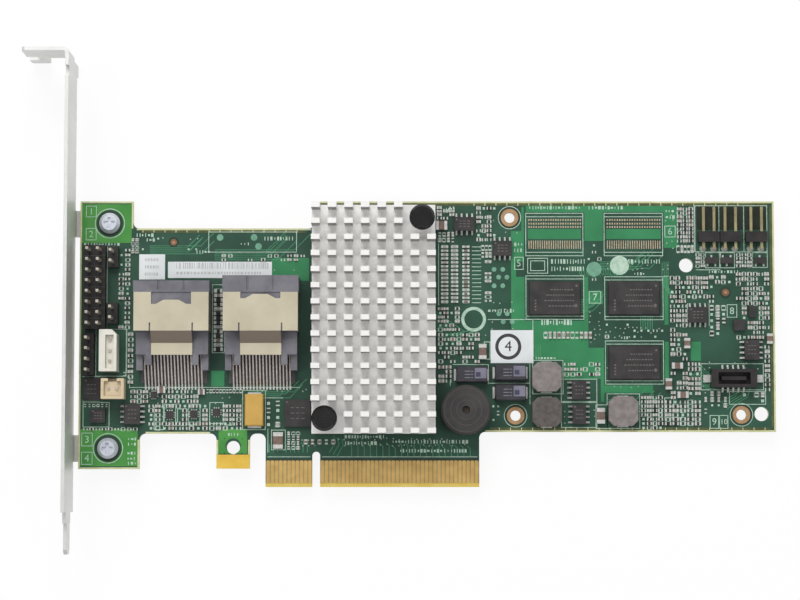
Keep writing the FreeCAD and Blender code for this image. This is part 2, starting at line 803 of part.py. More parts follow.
def heatsink():
    """An extruded block: channels along Y, cross cuts along X, two cleared corners."""
    body = new_body("heatsink")
    blank = centred(sketch(body, "XY_Plane", SINK_FLOOR), "cooled_x", "cooled_y", "sink_width", "sink_length")
    pad(body, blank, "sink_height")
    column_pitch = "(sink_width - fin_width) / (fin_columns - 1)"
    row_pitch = "(sink_length - fin_length) / (fin_rows - 1)"
    left = "cooled_x - sink_width / 2"
    low = "cooled_y - sink_length / 2"
    fin_floor = SINK_FLOOR + " + sink_base"
    fin_height = "sink_height - sink_base"
    corner_width = "pin_corner_columns * %s" % column_pitch
    corner_length = "pin_corner_rows * %s" % row_pitch
    corners = sketch(body, "XY_Plane", fin_floor)
    rectangle(corners, left + " - fin_width", low + " - fin_width", left + " + " + corner_width,
              low + " + " + corner_length)
    rectangle(corners, "cooled_x + sink_width / 2 - " + corner_width,
              "cooled_y + sink_length / 2 - " + corner_length,
              "cooled_x + sink_width / 2 + fin_width", "cooled_y + sink_length / 2 + fin_width")
    cut(body, corners, fin_height)
    channel = rectangle(sketch(body, "XY_Plane", fin_floor), left + " + fin_width", low + " - fin_width",
                        left + " + " + column_pitch, "cooled_y + sink_length / 2 + fin_width")
    pattern(body, cut(body, channel, fin_height), "X_Axis", column_pitch, "fin_columns - 1")
    cross = rectangle(sketch(body, "XY_Plane", fin_floor), left + " - fin_width", low + " + fin_length",
                      "cooled_x + sink_width / 2 + fin_width", low + " + " + row_pitch)
    pattern(body, cut(body, cross, fin_height), "Y_Axis", row_pitch, "fin_rows - 1")
    holes = sketch(body, "XY_Plane", SINK_FLOOR)
    for x, y in push_pin_places():
        circle(holes, x, y, "push_pin_bore")
    cut(body, holes, "sink_base")


def push_pins():
    """Black push pins: cap, stem through the heatsink and board, split barb below."""
    body = new_body("push_pins")
    stem = "push_pin_stem / 2"
    cap = "push_pin_cap / 2"
    barb = "push_pin_barb / 2"
    crown = above("push_pin_top + push_pin_cap_height")
    tip = UNDER + " - push_pin_barb_length"
    for x, y in push_pin_places():
        turned(body, x, y, [
            ("0", tip), (barb, UNDER), (stem, UNDER), (stem, above("push_pin_top")),
            (cap, above("push_pin_top")), (cap, crown + " - push_pin_cap_height * 0.4"),
            (cap + " * 0.82", crown), ("0", crown)])
    for x, y in push_pin_places():
        split = centred(sketch(body, "XY_Plane", tip), x, y, "push_pin_stem / 4", "push_pin_barb * 2")
        cut(body, split, "push_pin_barb_length + board_thickness")


# Two right-angle ports, each a moulded housing in a folded shell with bent leads.

def port_housing(number):
    body = new_body("sas_housing_%d" % number)
    x = "port_x_%d" % number
    front = "port_front_%d" % number
    inner_width = "shell_width - 2 * shell_sheet"
    core = centred(sketch(body, "XZ_Plane", "shell_front - shell_length"), x,
                   above("(port_height - shell_sheet) / 2"), inner_width, "port_height - shell_sheet")
    pad(body, core, "shell_length")
    collar = centred(sketch(body, "XZ_Plane", "shell_front"), x, above("port_height / 2"),
                     "port_width", "port_height")
    pad(body, collar, front + " - shell_front")
    rear = centred(sketch(body, "XZ_Plane", "port_rear"), x, above("rear_height / 2"),
                   inner_width, "rear_height")
    pad(body, rear, "shell_front - shell_length - port_rear")
    for side in ("-", "+"):
        outer = "%s %s (arm_outer - arm_width / 2)" % (x, side)
        inner = "%s %s (arm_outer - arm_step - arm_width / 2)" % (x, side)
        arm = rectangle(sketch(body, "XY_Plane", TOP), outer + " - arm_width / 2",
                        "port_rear - arm_reach", outer + " + arm_width / 2", "port_rear")
        pad(body, arm, "arm_height")
        finger = rectangle(sketch(body, "XY_Plane", above("arm_height")), inner + " - arm_width / 2",
                           "port_rear - arm_inner_reach", inner + " + arm_width / 2", "port_rear")
        pad(body, finger, "rear_height - arm_height")
    cavity_middle = above("cavity_floor + cavity_height / 2")
    cavity = centred(sketch(body, "XZ_Plane", front + " - cavity_depth"), x, cavity_middle,
                     "cavity_width", "cavity_height")
    cut(body, cavity, "cavity_depth")
    nose = centred(sketch(body, "XZ_Plane", front + " - cavity_depth"), x, cavity_middle,
                   "nose_width", "nose_height")
    pad(body, nose, "cavity_depth - nose_setback")
    slot = centred(sketch(body, "XZ_Plane", front + " - cavity_depth"), x, cavity_middle,
                   "nose_slot_width", "nose_slot")
    cut(body, slot, "cavity_depth - nose_setback")
    latch = rectangle(sketch(body, "XY_Plane", above("cavity_floor + cavity_height")),
                      x + " - latch_width / 2 + latch_bump_depth", "shell_front + latch_bump_depth",
                      x + " + latch_width / 2 - latch_bump_depth", front)
    cut(body, latch, "(port_height - cavity_floor - cavity_height) / 2")
    for side in ("-", "+"):
        groove = centred(sketch(body, "XY_Plane", above("port_height - shell_sheet")),
                         "%s %s latch_width * 0.32" % (x, side),
                         "(%s + shell_front) / 2 + shell_sheet" % front,
                         "shell_slit * 1.6", front + " - shell_front - 2 * shell_sheet")
        cut(body, groove, "shell_sheet")


def port_shell(number):
    """A folded metal hood with a latch window in front and a tongue behind."""
    body = new_body("sas_shell_%d" % number)
    x = "port_x_%d" % number
    left = x + " - shell_width / 2"
    right = x + " + shell_width / 2"
    roof = above("port_height")
    hood = polygon(sketch(body, "XZ_Plane", "shell_front - shell_length"), [
        (left, TOP), (left + " + shell_sheet", TOP), (left + " + shell_sheet", roof + " - shell_sheet"),
        (right + " - shell_sheet", roof + " - shell_sheet"), (right + " - shell_sheet", TOP),
        (right, TOP), (right, roof), (left, roof)])
    pad(body, hood, "shell_length")
    window_low = "shell_front - latch_depth_%d" % number
    window = polygon(sketch(body, "XY_Plane", roof + " - shell_sheet"), [
        (x + " - latch_width / 2", "shell_front + shell_sheet"), (x + " - latch_width / 2", window_low),
        (x + " - latch_bump", window_low), (x + " - latch_bump / 2", window_low + " + latch_bump_depth"),
        (x + " + latch_bump / 2", window_low + " + latch_bump_depth"), (x + " + latch_bump", window_low),
        (x + " + latch_width / 2", window_low), (x + " + latch_width / 2", "shell_front + shell_sheet")])
    cut(body, window, "shell_sheet")
    rear = "shell_front - shell_length"
    for side in ("-", "+"):
        slit = centred(sketch(body, "XY_Plane", roof + " - shell_sheet"),
                       "%s %s (shell_tongue + shell_slit) / 2" % (x, side), rear,
                       "shell_slit", "2 * shell_slit_length")
        cut(body, slit, "shell_sheet")
    low = roof + " - shell_tongue_drop"
    middle = rear + " - shell_tongue_reach / 2"
    end = rear + " - shell_tongue_reach"
    tongue = polygon(sketch(body, "YZ_Plane", x + " - shell_tongue / 2"), [
        (rear, roof), (rear, roof + " - shell_sheet"), (middle, low + " - shell_sheet"),
        (end, low + " - shell_sheet"), (end, low), (middle, low)])
    pad(body, tongue, "shell_tongue")


def port_contacts(number):
    """The visible row of bent leads, soldered to the board behind the port."""
    body = new_body("sas_contacts_%d" % number)
    first = "port_x_%d - port_lead_pitch * (port_lead_count - 1) / 2 - port_lead_width / 2" % number
    lead = polygon(sketch(body, "YZ_Plane", first), [
        ("port_rear", above("port_lead_high")), ("port_rear", above("port_lead_high - 2 * port_lead_sheet")),
        ("port_lead_tip", TOP), ("port_lead_tip", above("port_lead_sheet"))])
    pattern(body, pad(body, lead, "port_lead_width"), "X_Axis", "port_lead_pitch", "port_lead_count")


# Straight pin headers.

def header_bodies(name, grids):
    """Black insulators: one block for each group of pins."""
    body = new_body(name)
    drawing = sketch(body, "XY_Plane", TOP)
    for x, y, pitch_x, count_x, pitch_y, count_y in grids:
        centred(drawing, x, y, "header_width + %s * (%s - 1)" % (pitch_x, count_x),
                "header_width + %s * (%s - 1)" % (pitch_y, count_y))
    pad(body, drawing, "header_height")
    for grid in grids:
        grid_of(body, grid, lambda x, y: lead_passage(body, x, y, TOP, "header_height"))


def header_pins(name, grids, top):
    """Square pins through the board, from the tail below it to the tip."""
    body = new_body(name)
    for grid in grids:
        grid_of(body, grid, lambda x, y: pad(body, centred(
            sketch(body, "XY_Plane", UNDER + " - pin_tail"), x, y, "pin_side", "pin_side"),
            "board_thickness + pin_tail + " + top))


# Locking connector with three ways and a chamfered back wall.

def lock_connector():
    body = new_body("fan_connector")
    shape = polygon(sketch(body, "XY_Plane", TOP), [
        ("lock_x - lock_width / 2", "lock_y - lock_length / 2"),
        ("lock_x + lock_width / 2", "lock_y - lock_length / 2"),
        ("lock_x + lock_width / 2", "lock_y + lock_length / 2 - lock_corner"),
        ("lock_x + lock_width / 2 - lock_corner", "lock_y + lock_length / 2"),
        ("lock_x - lock_width / 2", "lock_y + lock_length / 2")])
    pad(body, shape, "lock_height")
    well = rectangle(sketch(body, "XY_Plane", above("lock_floor")),
                     "lock_x - lock_width / 2 + lock_wall + lock_tongue",
                     "lock_y - lock_length / 2 + lock_wall", "lock_x + lock_width / 2 - lock_wall",
                     "lock_y + lock_length / 2 - lock_wall - lock_corner / 2")
    cut(body, well, "lock_height - lock_floor")
    grid_of(body, lead_grids()[4], lambda x, y: lead_passage(body, x, y, TOP, "lock_floor"))


def two_way_socket():
    body = new_body("battery_sense_socket")
    pad(body, centred(sketch(body, "XY_Plane", TOP), "socket_x", "socket_y", "socket_width", "socket_length"),
        "socket_height")
    well = centred(sketch(body, "XY_Plane", above("socket_floor")), "socket_x", "socket_y",
                   "socket_width - 2 * socket_wall", "socket_length - 2 * socket_wall")
    cut(body, well, "socket_height - socket_floor")
    mouth = centred(sketch(body, "XY_Plane", above("socket_floor")), "socket_x",
                    "socket_y + socket_length / 2 - socket_wall / 2", "socket_mouth", "socket_wall * 1.2")
    cut(body, mouth, "socket_height - socket_floor")
    grid_of(body, lead_grids()[5], lambda x, y: lead_passage(body, x, y, TOP, "socket_floor"))


# Right-angle activity headers at the top right: block, and pins bent towards the edge.

def activity_headers():
    body = new_body("activity_header_bodies")
    drawing = sketch(body, "XY_Plane", TOP)
    for number in (1, 2, 3):
        centred(drawing, "activity_x_%d" % number, "activity_front - activity_depth / 2",
                "header_width + pin_pitch", "activity_depth")
    pad(body, drawing, "activity_height")
    for number in (1, 2, 3):
        bore = centred(sketch(body, "XZ_Plane", "activity_front - activity_depth"),
                       "activity_x_%d - pin_pitch / 2" % number, above("activity_pin_height"),
                       "pin_side", "pin_side")
        pattern(body, cut(body, bore, "activity_depth"), "X_Axis", "pin_pitch", "2")
    pins = new_body("activity_header_pins")
    high = above("activity_pin_height + pin_side / 2")
    low = above("activity_pin_height - pin_side / 2")
    tail = UNDER + " - pin_tail"
    for number in (1, 2, 3):
        first = "activity_x_%d - pin_pitch / 2 - pin_side / 2" % number
        bent = polygon(sketch(pins, "YZ_Plane", first), [
            ("activity_pin_drop - pin_side / 2", tail), ("activity_pin_drop + pin_side / 2", tail),
            ("activity_pin_drop + pin_side / 2", low), ("activity_pin_tip", low),
            ("activity_pin_tip", high), ("activity_pin_drop - pin_side / 2", high)])
        pattern(pins, pad(pins, bent, "pin_side"), "X_Axis", "pin_pitch", "2")


# Surface-mounted connector for the battery lead: shroud round a tongue, leads, solder ears.

def battery_connector():
    body = new_body("battery_connector")
    case = centred(sketch(body, "XY_Plane", TOP), "battery_x", "battery_y", "battery_width",
                   "battery_depth")
    pad(body, case, "battery_height")
    floor = above("battery_height - battery_slot")
    mouth = "battery_width - 2 * battery_end_wall"
    slot = centred(sketch(body, "XY_Plane", floor), "battery_x", "battery_y", mouth,
                   "battery_depth - 2 * battery_wall")
    cut(body, slot, "battery_slot")
    tongue = centred(sketch(body, "XY_Plane", floor), "battery_x", "battery_y",
                     mouth + " - 2 * battery_tongue", "battery_tongue")
    pad(body, tongue, "battery_tongue_height")
    leads = new_body("battery_connector_leads")
    first = "battery_x - battery_lead_pitch * (battery_lead_count - 1) / 2 - battery_lead_width / 2"
    for side in ("-", "+"):
        wall = "battery_y %s battery_depth / 2" % side
        toe = "%s %s battery_lead_reach" % (wall, side)
        lead = polygon(sketch(leads, "YZ_Plane", first), [
            (wall, TOP), (toe, TOP), (toe, above("battery_lead_sheet")), (wall, above("battery_lead_rise"))])
        pattern(leads, pad(leads, lead, "battery_lead_width"), "X_Axis", "battery_lead_pitch",
                "battery_lead_count")
    for side in ("-", "+"):
        end = "battery_x %s (battery_width + battery_ear_reach) / 2" % side
        ear = centred(sketch(leads, "XY_Plane", TOP), end, "battery_y", "battery_ear_reach",
                      "battery_ear_depth")
        pad(leads, ear, "battery_ear_height")


def sounder():
    body = new_body("sounder")
    rim = "sounder_diameter / 2"
    vent = "sounder_hole / 2"
    crown = above("sounder_height")
    vent_floor = crown + " - sounder_hole_depth"
    turned(body, "sounder_x", "sounder_y", [
        ("0", TOP), (rim, TOP), (rim, crown + " - sounder_edge"), (rim + " - sounder_edge", crown),
        (vent, crown), (vent, vent_floor), ("0", vent_floor)])


# Chokes and bulk capacitors of the power stages.

def chokes(name, numbers):
    body = new_body(name)
    drawing = sketch(body, "XY_Plane", TOP)
    places = []
    for number in numbers:
        x = "choke_%d_x" % number
        y = "choke_%d_y" % number
        centred(drawing, x, y, "choke_side", "choke_side")
        half = size("choke_side / 2")
        places += [(size(x) + i * half, size(y) + j * half) for i in (-1, 1) for j in (-1, 1)]
    pad(body, drawing, "choke_height")
    dress(body, "Chamfer", "choke_corner", upright_at(places))


def moulded_blocks(name, places, width, length, height):
    """Moulded blocks that stand on the board, their top edges slightly bevelled."""
    body = new_body(name)
    drawing = sketch(body, "XY_Plane", TOP)
    for x, y in places:
        centred(drawing, x, y, width, length)
    pad(body, drawing, height)
    dress(body, "Chamfer", "mould_chamfer", level_at(size(above(height))))


# Chips with gull-wing leads, flat chips and regulators.

def chip_lead(x, y, side, turned, reach):
    """One gull-wing lead that leaves a package's side at (x, y) towards side."""
    thick = size("chip_lead_sheet")
    floor = size(TOP)
    shoulder = floor + size("chip_standoff + chip_height") / 2
    profile = [(0, shoulder - thick), (reach, floor), (reach, floor + thick), (0, shoulder + thick)]
    width = size("chip_lead_width")
    if turned:
        corners = [V(x + side * out, y - width / 2, z) for out, z in profile]
        return prism(corners, V(0, width, 0))
    corners = [V(x - width / 2, y + side * out, z) for out, z in profile]
    return prism(corners, V(width, 0, 0))


def outline_chips():
    """Packages on a small stand-off, with a row of leads along each of two sides."""
    floor = size(above("chip_standoff"))
    reach = size("chip_lead_reach")
    bodies = []
    leads = []
    for x, y, width, length, count, turned in OUTLINE_CHIPS:
        bodies.append(block(x, y, floor, width, length, size("chip_height")))
        span = (length if turned else width) - 2 * size("chip_lead_margin")
        step = min(size("chip_lead_pitch"), span / (count - 1))
        for number in range(count):
            along = (number - (count - 1) / 2) * step
            for side in (-1, 1):
                if turned:
                    leads.append(chip_lead(x + side * width / 2, y + along, side, True, reach))
                else:
                    leads.append(chip_lead(x + along, y + side * length / 2, side, False, reach))
    group("outline_chips", bodies)
    group("outline_chip_leads", leads)


def regulators():
    """Small packages with a pair of leads on one side and a single one opposite."""
    y = size("regulator_y")
    half = size("regulator_depth") / 2
    reach = size("regulator_lead_reach")
    floor = size(TOP)
    bodies = []
    leads = []
    for x, pair_side in REGULATORS:
        bodies.append(block(x, y, floor, size("regulator_width"), 2 * half, size("regulator_height")))
        apart = size("regulator_pitch") / 2
        for offset, side in ((-apart, pair_side), (apart, pair_side), (0, -pair_side)):
            middle = y + side * (half + reach / 2)
            leads.append(block(x + offset, middle, floor, size("chip_lead_width"), reach,
                               size("chip_lead_sheet")))
    group("regulators", bodies)
    group("regulator_leads", leads)


def flat_parts():
    """Flat chips and ceramic capacitors, each a plain block on the board."""
    floor = size(TOP)
    for name, places, height in (("flat_chips", FLAT_CHIPS, "flat_chip_height"),
                                 ("ceramic_capacitors", CERAMICS, "ceramic_height")):
        group(name, [block(x, y, floor, width, length, size(height)) for x, y, width, length in places])


def paper_labels():
    thick = size("label_thickness")
    group("paper_labels", [block((left + right) / 2, (low + high) / 2, size(TOP), right - left, high - low,
                                 thick)
                           for left, low, right, high in LABELS])


circuit_board()
edge_contacts()
retention_pad()
mounting_bracket()
bracket_screws()
raid_processor()
thermal_pad()
heatsink()
push_pins()
for port in (1, 2):
    port_housing(port)
    port_shell(port)
    port_contacts(port)
grids = lead_grids()
header_bodies("jumper_header_body", grids[:1])
header_pins("jumper_header_pins", grids[:1], "pin_top")
header_bodies("small_header_bodies", grids[1:4])
header_pins("small_header_pins", grids[1:4], "pin_top")
lock_connector()
header_pins("fan_connector_pins", grids[4:5], "lock_pin_top")
two_way_socket()
header_pins("battery_sense_pins", grids[5:6], "socket_height - socket_wall")
activity_headers()
battery_connector()
sounder()
chokes("ferrite_chokes", (1, 2))
chokes("moulded_choke", (3,))
moulded_blocks("bulk_capacitors", [("bulk_%d_x" % n, "bulk_%d_y" % n) for n in (1, 2, 3)],
               "bulk_length", "bulk_width", "bulk_height")
moulded_blocks("amber_capacitor", [("amber_x", "amber_y")], "amber_width", "amber_length", "amber_height")
moulded_blocks("memory_chips", [("memory_%d_x" % n, "memory_%d_y" % n) for n in (1, 2, 3)],
               "memory_length", "memory_width", "memory_height")
outline_chips()
regulators()
flat_parts()
paper_labels()

doc.recompute()


def check_model():
    """Stops if any feature failed, any cut removed nothing, or any piece is unsound."""
    for item in doc.Objects:
        if "Invalid" in item.State or "Error" in item.State:
            raise RuntimeError("%s failed: %s" % (item.Name, item.State))
        if item.isDerivedFrom("PartDesign::Pocket"):
            if item.Shape.Volume >= item.BaseFeature.Shape.Volume - 1e-6:
                raise RuntimeError("%s cut nothing" % item.Name)
    for piece in parts:
        if piece.Shape.isNull() or not piece.Shape.isValid():
            raise RuntimeError("%s has no sound shape" % piece.Label)


check_model()
os.makedirs("parts", exist_ok=True)
for piece in parts:
    piece.Shape.exportStep("parts/%s.step" % piece.Label)
    print("%-24s %3d solids %10.2f mm3" % (piece.Label, len(piece.Shape.Solids), piece.Shape.Volume))
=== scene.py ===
import math
import random

import bmesh
import bpy
from mathutils import Matrix, Vector


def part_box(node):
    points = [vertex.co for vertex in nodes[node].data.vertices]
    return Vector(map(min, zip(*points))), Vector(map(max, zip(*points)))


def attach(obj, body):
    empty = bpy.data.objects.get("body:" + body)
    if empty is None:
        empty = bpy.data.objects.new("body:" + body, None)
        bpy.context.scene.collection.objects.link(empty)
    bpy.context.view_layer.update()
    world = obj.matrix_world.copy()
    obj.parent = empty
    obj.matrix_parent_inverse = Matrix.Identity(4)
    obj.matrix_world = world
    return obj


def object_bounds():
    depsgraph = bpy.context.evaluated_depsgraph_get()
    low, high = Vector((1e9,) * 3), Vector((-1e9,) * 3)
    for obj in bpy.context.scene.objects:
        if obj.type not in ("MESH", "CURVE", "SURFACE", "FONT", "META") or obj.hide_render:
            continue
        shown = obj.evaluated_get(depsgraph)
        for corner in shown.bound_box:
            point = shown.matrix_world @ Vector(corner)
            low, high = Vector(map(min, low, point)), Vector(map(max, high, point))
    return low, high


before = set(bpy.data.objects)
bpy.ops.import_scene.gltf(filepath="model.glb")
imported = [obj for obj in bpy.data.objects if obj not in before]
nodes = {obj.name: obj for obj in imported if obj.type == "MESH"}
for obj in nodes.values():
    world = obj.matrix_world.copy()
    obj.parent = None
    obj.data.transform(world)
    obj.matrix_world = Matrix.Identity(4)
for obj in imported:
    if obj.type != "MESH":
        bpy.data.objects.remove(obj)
cad_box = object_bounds()

# The camera looks down on the card, which lies flat on its solder side. It stands over the
# card edge and leans a little towards the top edge, as the photograph does.
mm = 0.001
photo_scale = 4.14
photo_zero = (316.7, 486.5)
photo_middle = (400.0, 300.0)
photo_width = 800.0
camera_height = 600.0
camera_foot = -0.85


def on_board(px, py):
    """The place on the board, in millimetres, of a pixel of the 800 x 600 photograph."""
    return (px - photo_zero[0]) / photo_scale, (photo_zero[1] - py) / photo_scale


aim_x, aim_y = on_board(*photo_middle)
camera_reach = math.hypot(camera_height, aim_y - camera_foot)
camera_data = bpy.data.cameras.new("camera")
camera = bpy.data.objects.new("camera", camera_data)
bpy.context.scene.collection.objects.link(camera)
camera_data.sensor_width = 36.0
camera_data.lens = camera_data.sensor_width * camera_reach * photo_scale / photo_width
camera_data.clip_start = 0.01
camera.location = (aim_x * mm, camera_foot * mm, camera_height * mm)
camera.rotation_euler = (math.atan2(aim_y - camera_foot, camera_height), 0, 0)
bpy.context.scene.camera = camera

# The floor is a plain white sheet under the card. What the camera sees of it is lifted to
# the photograph's white, and it keeps part of the card's shadow.
floor_reach = 3.0
lifted_share = 0.90
floor_shape = bmesh.new()
bmesh.ops.create_grid(floor_shape, x_segments=1, y_segments=1, size=floor_reach,
                      matrix=Matrix.Translation((0, 0, cad_box[0].z)))
floor_mesh = bpy.data.meshes.new("floor")
floor_shape.to_mesh(floor_mesh)
floor_shape.free()
floor = bpy.data.objects.new("floor", floor_mesh)
bpy.context.scene.collection.objects.link(floor)
floor_paint = bpy.data.materials.new("white_sheet")
floor_paint.use_nodes = True


def plug(tree, node, sockets):
    """Gives each named socket of a shader node a value, or a link from another node."""
    for socket, value in sockets.items():
        if isinstance(value, bpy.types.NodeSocket):
            tree.links.new(value, node.inputs[socket])
        else:
            node.inputs[socket].default_value = value


def add_node(tree, kind, sockets=None, **settings):
    """A new shader node with its settings, and with what its sockets get."""
    node = tree.nodes.new(kind)
    for setting, value in settings.items():
        setattr(node, setting, value)
    plug(tree, node, sockets or {})
    return node


tree = floor_paint.node_tree
sheet = tree.nodes["Principled BSDF"]
plug(tree, sheet, {"Base Color": (0.92, 0.92, 0.92, 1), "Roughness": 0.8})
glow = add_node(tree, "ShaderNodeEmission", {"Color": (1, 1, 1, 1)})
rays = add_node(tree, "ShaderNodeLightPath").outputs
seen = add_node(tree, "ShaderNodeMath", {0: rays["Is Camera Ray"], 1: rays["Is Glossy Ray"]},
                operation="MAXIMUM")
share = add_node(tree, "ShaderNodeMath", {0: seen.outputs[0], 1: lifted_share}, operation="MULTIPLY")
mixed = add_node(tree, "ShaderNodeMixShader", {0: share.outputs[0], 1: sheet.outputs[0], 2: glow.outputs[0]})
plug(tree, tree.nodes["Material Output"], {"Surface": mixed.outputs[0]})
floor_mesh.materials.append(floor_paint)

# Soft studio light: a pale room and three broad panels, the strongest beyond the top edge,
# so that the fins and parts are a little darker on the side of the card edge.
world = bpy.data.worlds.new("studio")
bpy.context.scene.world = world
world.use_nodes = True
room = world.node_tree
plug(room, room.nodes["Background"], {"Color": (1.0, 1.0, 1.0, 1), "Strength": 0.40})
lit_place = Vector((0.02, 0.04, 0))
panel_side = 0.6


def light_panel(name, place, watts):
    """A square lamp at that place, in metres, that faces the card."""
    panel = bpy.data.lights.new(name, "AREA")
    panel.shape = "SQUARE"
    panel.size = panel_side
    panel.energy = watts
    lamp = bpy.data.objects.new(name, panel)
    lamp.location = place
    lamp.rotation_euler = (lit_place - Vector(place)).to_track_quat("-Z", "Y").to_euler()
    bpy.context.scene.collection.objects.link(lamp)


light_panel("panel_top", (-0.10, 0.70, 0.75), 6.6)
light_panel("panel_left", (-0.60, 0.00, 0.80), 2.2)
light_panel("panel_right", (0.70, -0.20, 0.80), 1.8)
bpy.context.scene.view_settings.view_transform = "Standard"

# Circuit board: fibreglass laminate with copper on both faces under green solder mask. The
# sawn and routed edge has no mask, so the bare laminate shows there.
board_low, board_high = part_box("circuit_board")
board_top = board_high.z / mm


def mottle_effect():
    """Colour that drifts between two shades, with a fine grain in gloss and height."""
    effect = bpy.data.node_groups.new("mottle", "ShaderNodeTree")
    for way, kind, names in (("INPUT", "Color", ("First", "Second")),
                             ("INPUT", "Float", ("Patches", "Grain", "Rough", "Spread")),
                             ("OUTPUT", "Color", ("Colour",)),
                             ("OUTPUT", "Float", ("Roughness", "Height"))):
        for name in names:
            effect.interface.new_socket(name, in_out=way, socket_type="NodeSocket" + kind)
    given = add_node(effect, "NodeGroupInput").outputs
    place = add_node(effect, "ShaderNodeTexCoord").outputs["Object"]
    patches = add_node(effect, "ShaderNodeTexNoise",
                       {"Vector": place, "Scale": given["Patches"], "Detail": 3}).outputs["Fac"]
    grain = add_node(effect, "ShaderNodeTexNoise",
                     {"Vector": place, "Scale": given["Grain"], "Detail": 2}).outputs["Fac"]
    sharper = add_node(effect, "ShaderNodeMapRange", {"Value": patches, "From Min": 0.35, "From Max": 0.65})
    blend = add_node(effect, "ShaderNodeMix", data_type="RGBA")
    plug(effect, blend, {"Factor": sharper.outputs[0], "A": given["First"], "B": given["Second"]})
    centred = add_node(effect, "ShaderNodeMath", {0: grain, 1: 0.5}, operation="SUBTRACT")
    swing = add_node(effect, "ShaderNodeMath", operation="MULTIPLY_ADD")
    plug(effect, swing, {0: centred.outputs[0], 1: given["Spread"], 2: given["Rough"]})
    leave = add_node(effect, "NodeGroupOutput")
    plug(effect, leave, {"Colour": blend.outputs["Result"], "Roughness": swing.outputs[0], "Height": grain})
    return effect


mottle = mottle_effect()


def finish(name, first, second, rough, metal=0.0, patches=300.0, grain=4000.0, spread=0.2,
           bump=0.15, depth=0.02):
    """A material with two drifting shades (linear colours) and a fine grain."""
    paint = bpy.data.materials.new(name)
    paint.use_nodes = True
    tree = paint.node_tree
    effect = add_node(tree, "ShaderNodeGroup", node_tree=mottle)
    plug(tree, effect, {"First": (*first, 1), "Second": (*second, 1), "Patches": patches,
                        "Grain": grain, "Rough": rough, "Spread": spread})
    relief = add_node(tree, "ShaderNodeBump", {"Height": effect.outputs["Height"],
                                               "Strength": bump, "Distance": depth * mm})
    plug(tree, tree.nodes["Principled BSDF"], {
        "Base Color": effect.outputs["Colour"], "Roughness": effect.outputs["Roughness"],
        "Normal": relief.outputs["Normal"], "Metallic": metal, "Specular IOR Level": 0.35})
    return paint


def dress(paint, *names):
    """Gives CAD nodes their material."""
    for name in names:
        nodes[name].data.materials.clear()
        nodes[name].data.materials.append(paint)


def shade_over(paint, mask, colour):
    """Lays a colour over the material's own, as far as the mask says."""
    tree = paint.node_tree
    shader = tree.nodes["Principled BSDF"]
    base = shader.inputs["Base Color"].links[0].from_socket
    over = add_node(tree, "ShaderNodeMix", data_type="RGBA")
    plug(tree, over, {"Factor": mask, "A": base, "B": (*colour, 1)})
    plug(tree, shader, {"Base Color": over.outputs["Result"]})


def part_of_vector(tree, vector, axis):
    """One axis of a vector in a shader."""
    return add_node(tree, "ShaderNodeSeparateXYZ", {0: vector}).outputs[axis]


def facing_side(paint, colour, level=0.5):
    """Gives upright faces, and faces that slope by more than level, another colour: bare laminate or painted
    shade.
    """
    tree = paint.node_tree
    facing = add_node(tree, "ShaderNodeNewGeometry").outputs["Normal"]
    flat = add_node(tree, "ShaderNodeMath", {0: part_of_vector(tree, facing, "Z")}, operation="ABSOLUTE")
    upright = add_node(tree, "ShaderNodeMath", {0: flat.outputs[0], 1: level}, operation="LESS_THAN")
    shade_over(paint, upright.outputs[0], colour)


mask_paint = finish("solder_mask", (0.017, 0.056, 0.036), (0.028, 0.090, 0.057), 0.36, patches=90.0,
                    grain=1500.0, spread=0.12, bump=0.2)
facing_side(mask_paint, (0.42, 0.45, 0.20))
dress(mask_paint, "circuit_board")

# Copper areas: etched from foil, so they stand a hair above the laminate, and the mask over
# them is a brighter green. They stop short of the holes and screws, and the retention hook
# has copper all round its hole.
copper_rise = 0.035
hook_hole = (-19.95, 9.83)
hook_hole_radius = 1.85
hook_half_width = 2.25
hook_half_depth = 1.83
pour_paint = finish("masked_copper", (0.028, 0.190, 0.075), (0.040, 0.240, 0.098), 0.36, patches=120.0,
                    grain=1500.0, spread=0.12, bump=0.2)
leaf_paint = finish("masked_corner", (0.048, 0.230, 0.040), (0.076, 0.300, 0.062), 0.36, patches=120.0,
                    grain=1500.0, spread=0.12, bump=0.2)
# Boxes of the photograph, in pixels: left, top, right and bottom.
COPPER_AREAS = [
    (521.5, 207, 524, 231), (511, 231, 524, 262), (511, 262, 516, 330), (584.5, 204, 603, 241),
    (526, 204, 584.5, 212), (603, 204, 664, 212), (528, 229, 581, 239), (606, 229, 661, 239),
    (664, 206, 678, 248), (516, 277, 524.5, 330), (524.5, 321, 533, 330), (533, 321, 588, 348),
    (534, 348, 603.5, 360), (563, 360, 600, 379), (600, 360, 603.5, 402), (603.5, 385.5, 652, 393),
    (584, 277, 588, 321), (588, 291, 602.5, 304.5), (690, 342, 700, 361), (664, 277, 668, 325),
    (664, 342, 668, 384), (271.5, 258, 309, 281), (212, 371, 225, 386.5),
]
LEAF_AREAS = [
    (82, 204, 102.4, 243), (117, 204, 131.5, 243), (102.4, 204, 117, 216), (102.4, 230.8, 117, 243),
    (82, 429, 102.4, 466), (117, 429, 139, 466), (102.4, 429, 117, 441), (102.4, 455.4, 117, 466),
    (219.5, 429, 248, 438.2), (219.5, 438.2, 224.8, 453.4), (243.4, 438.2, 248, 453.4),
]


def slab(shape, x, y, base, width, depth, height, turn=0.0):
    """A box about (x, y) that stands on the height base, in millimetres."""
    place = Matrix.Translation((x * mm, y * mm, (base + height / 2) * mm))
    size = Matrix.Diagonal((width * mm, depth * mm, height * mm, 1))
    turned = place @ Matrix.Rotation(turn, 4, "Z") @ size
    return bmesh.ops.create_cube(shape, size=1, matrix=turned)["verts"]


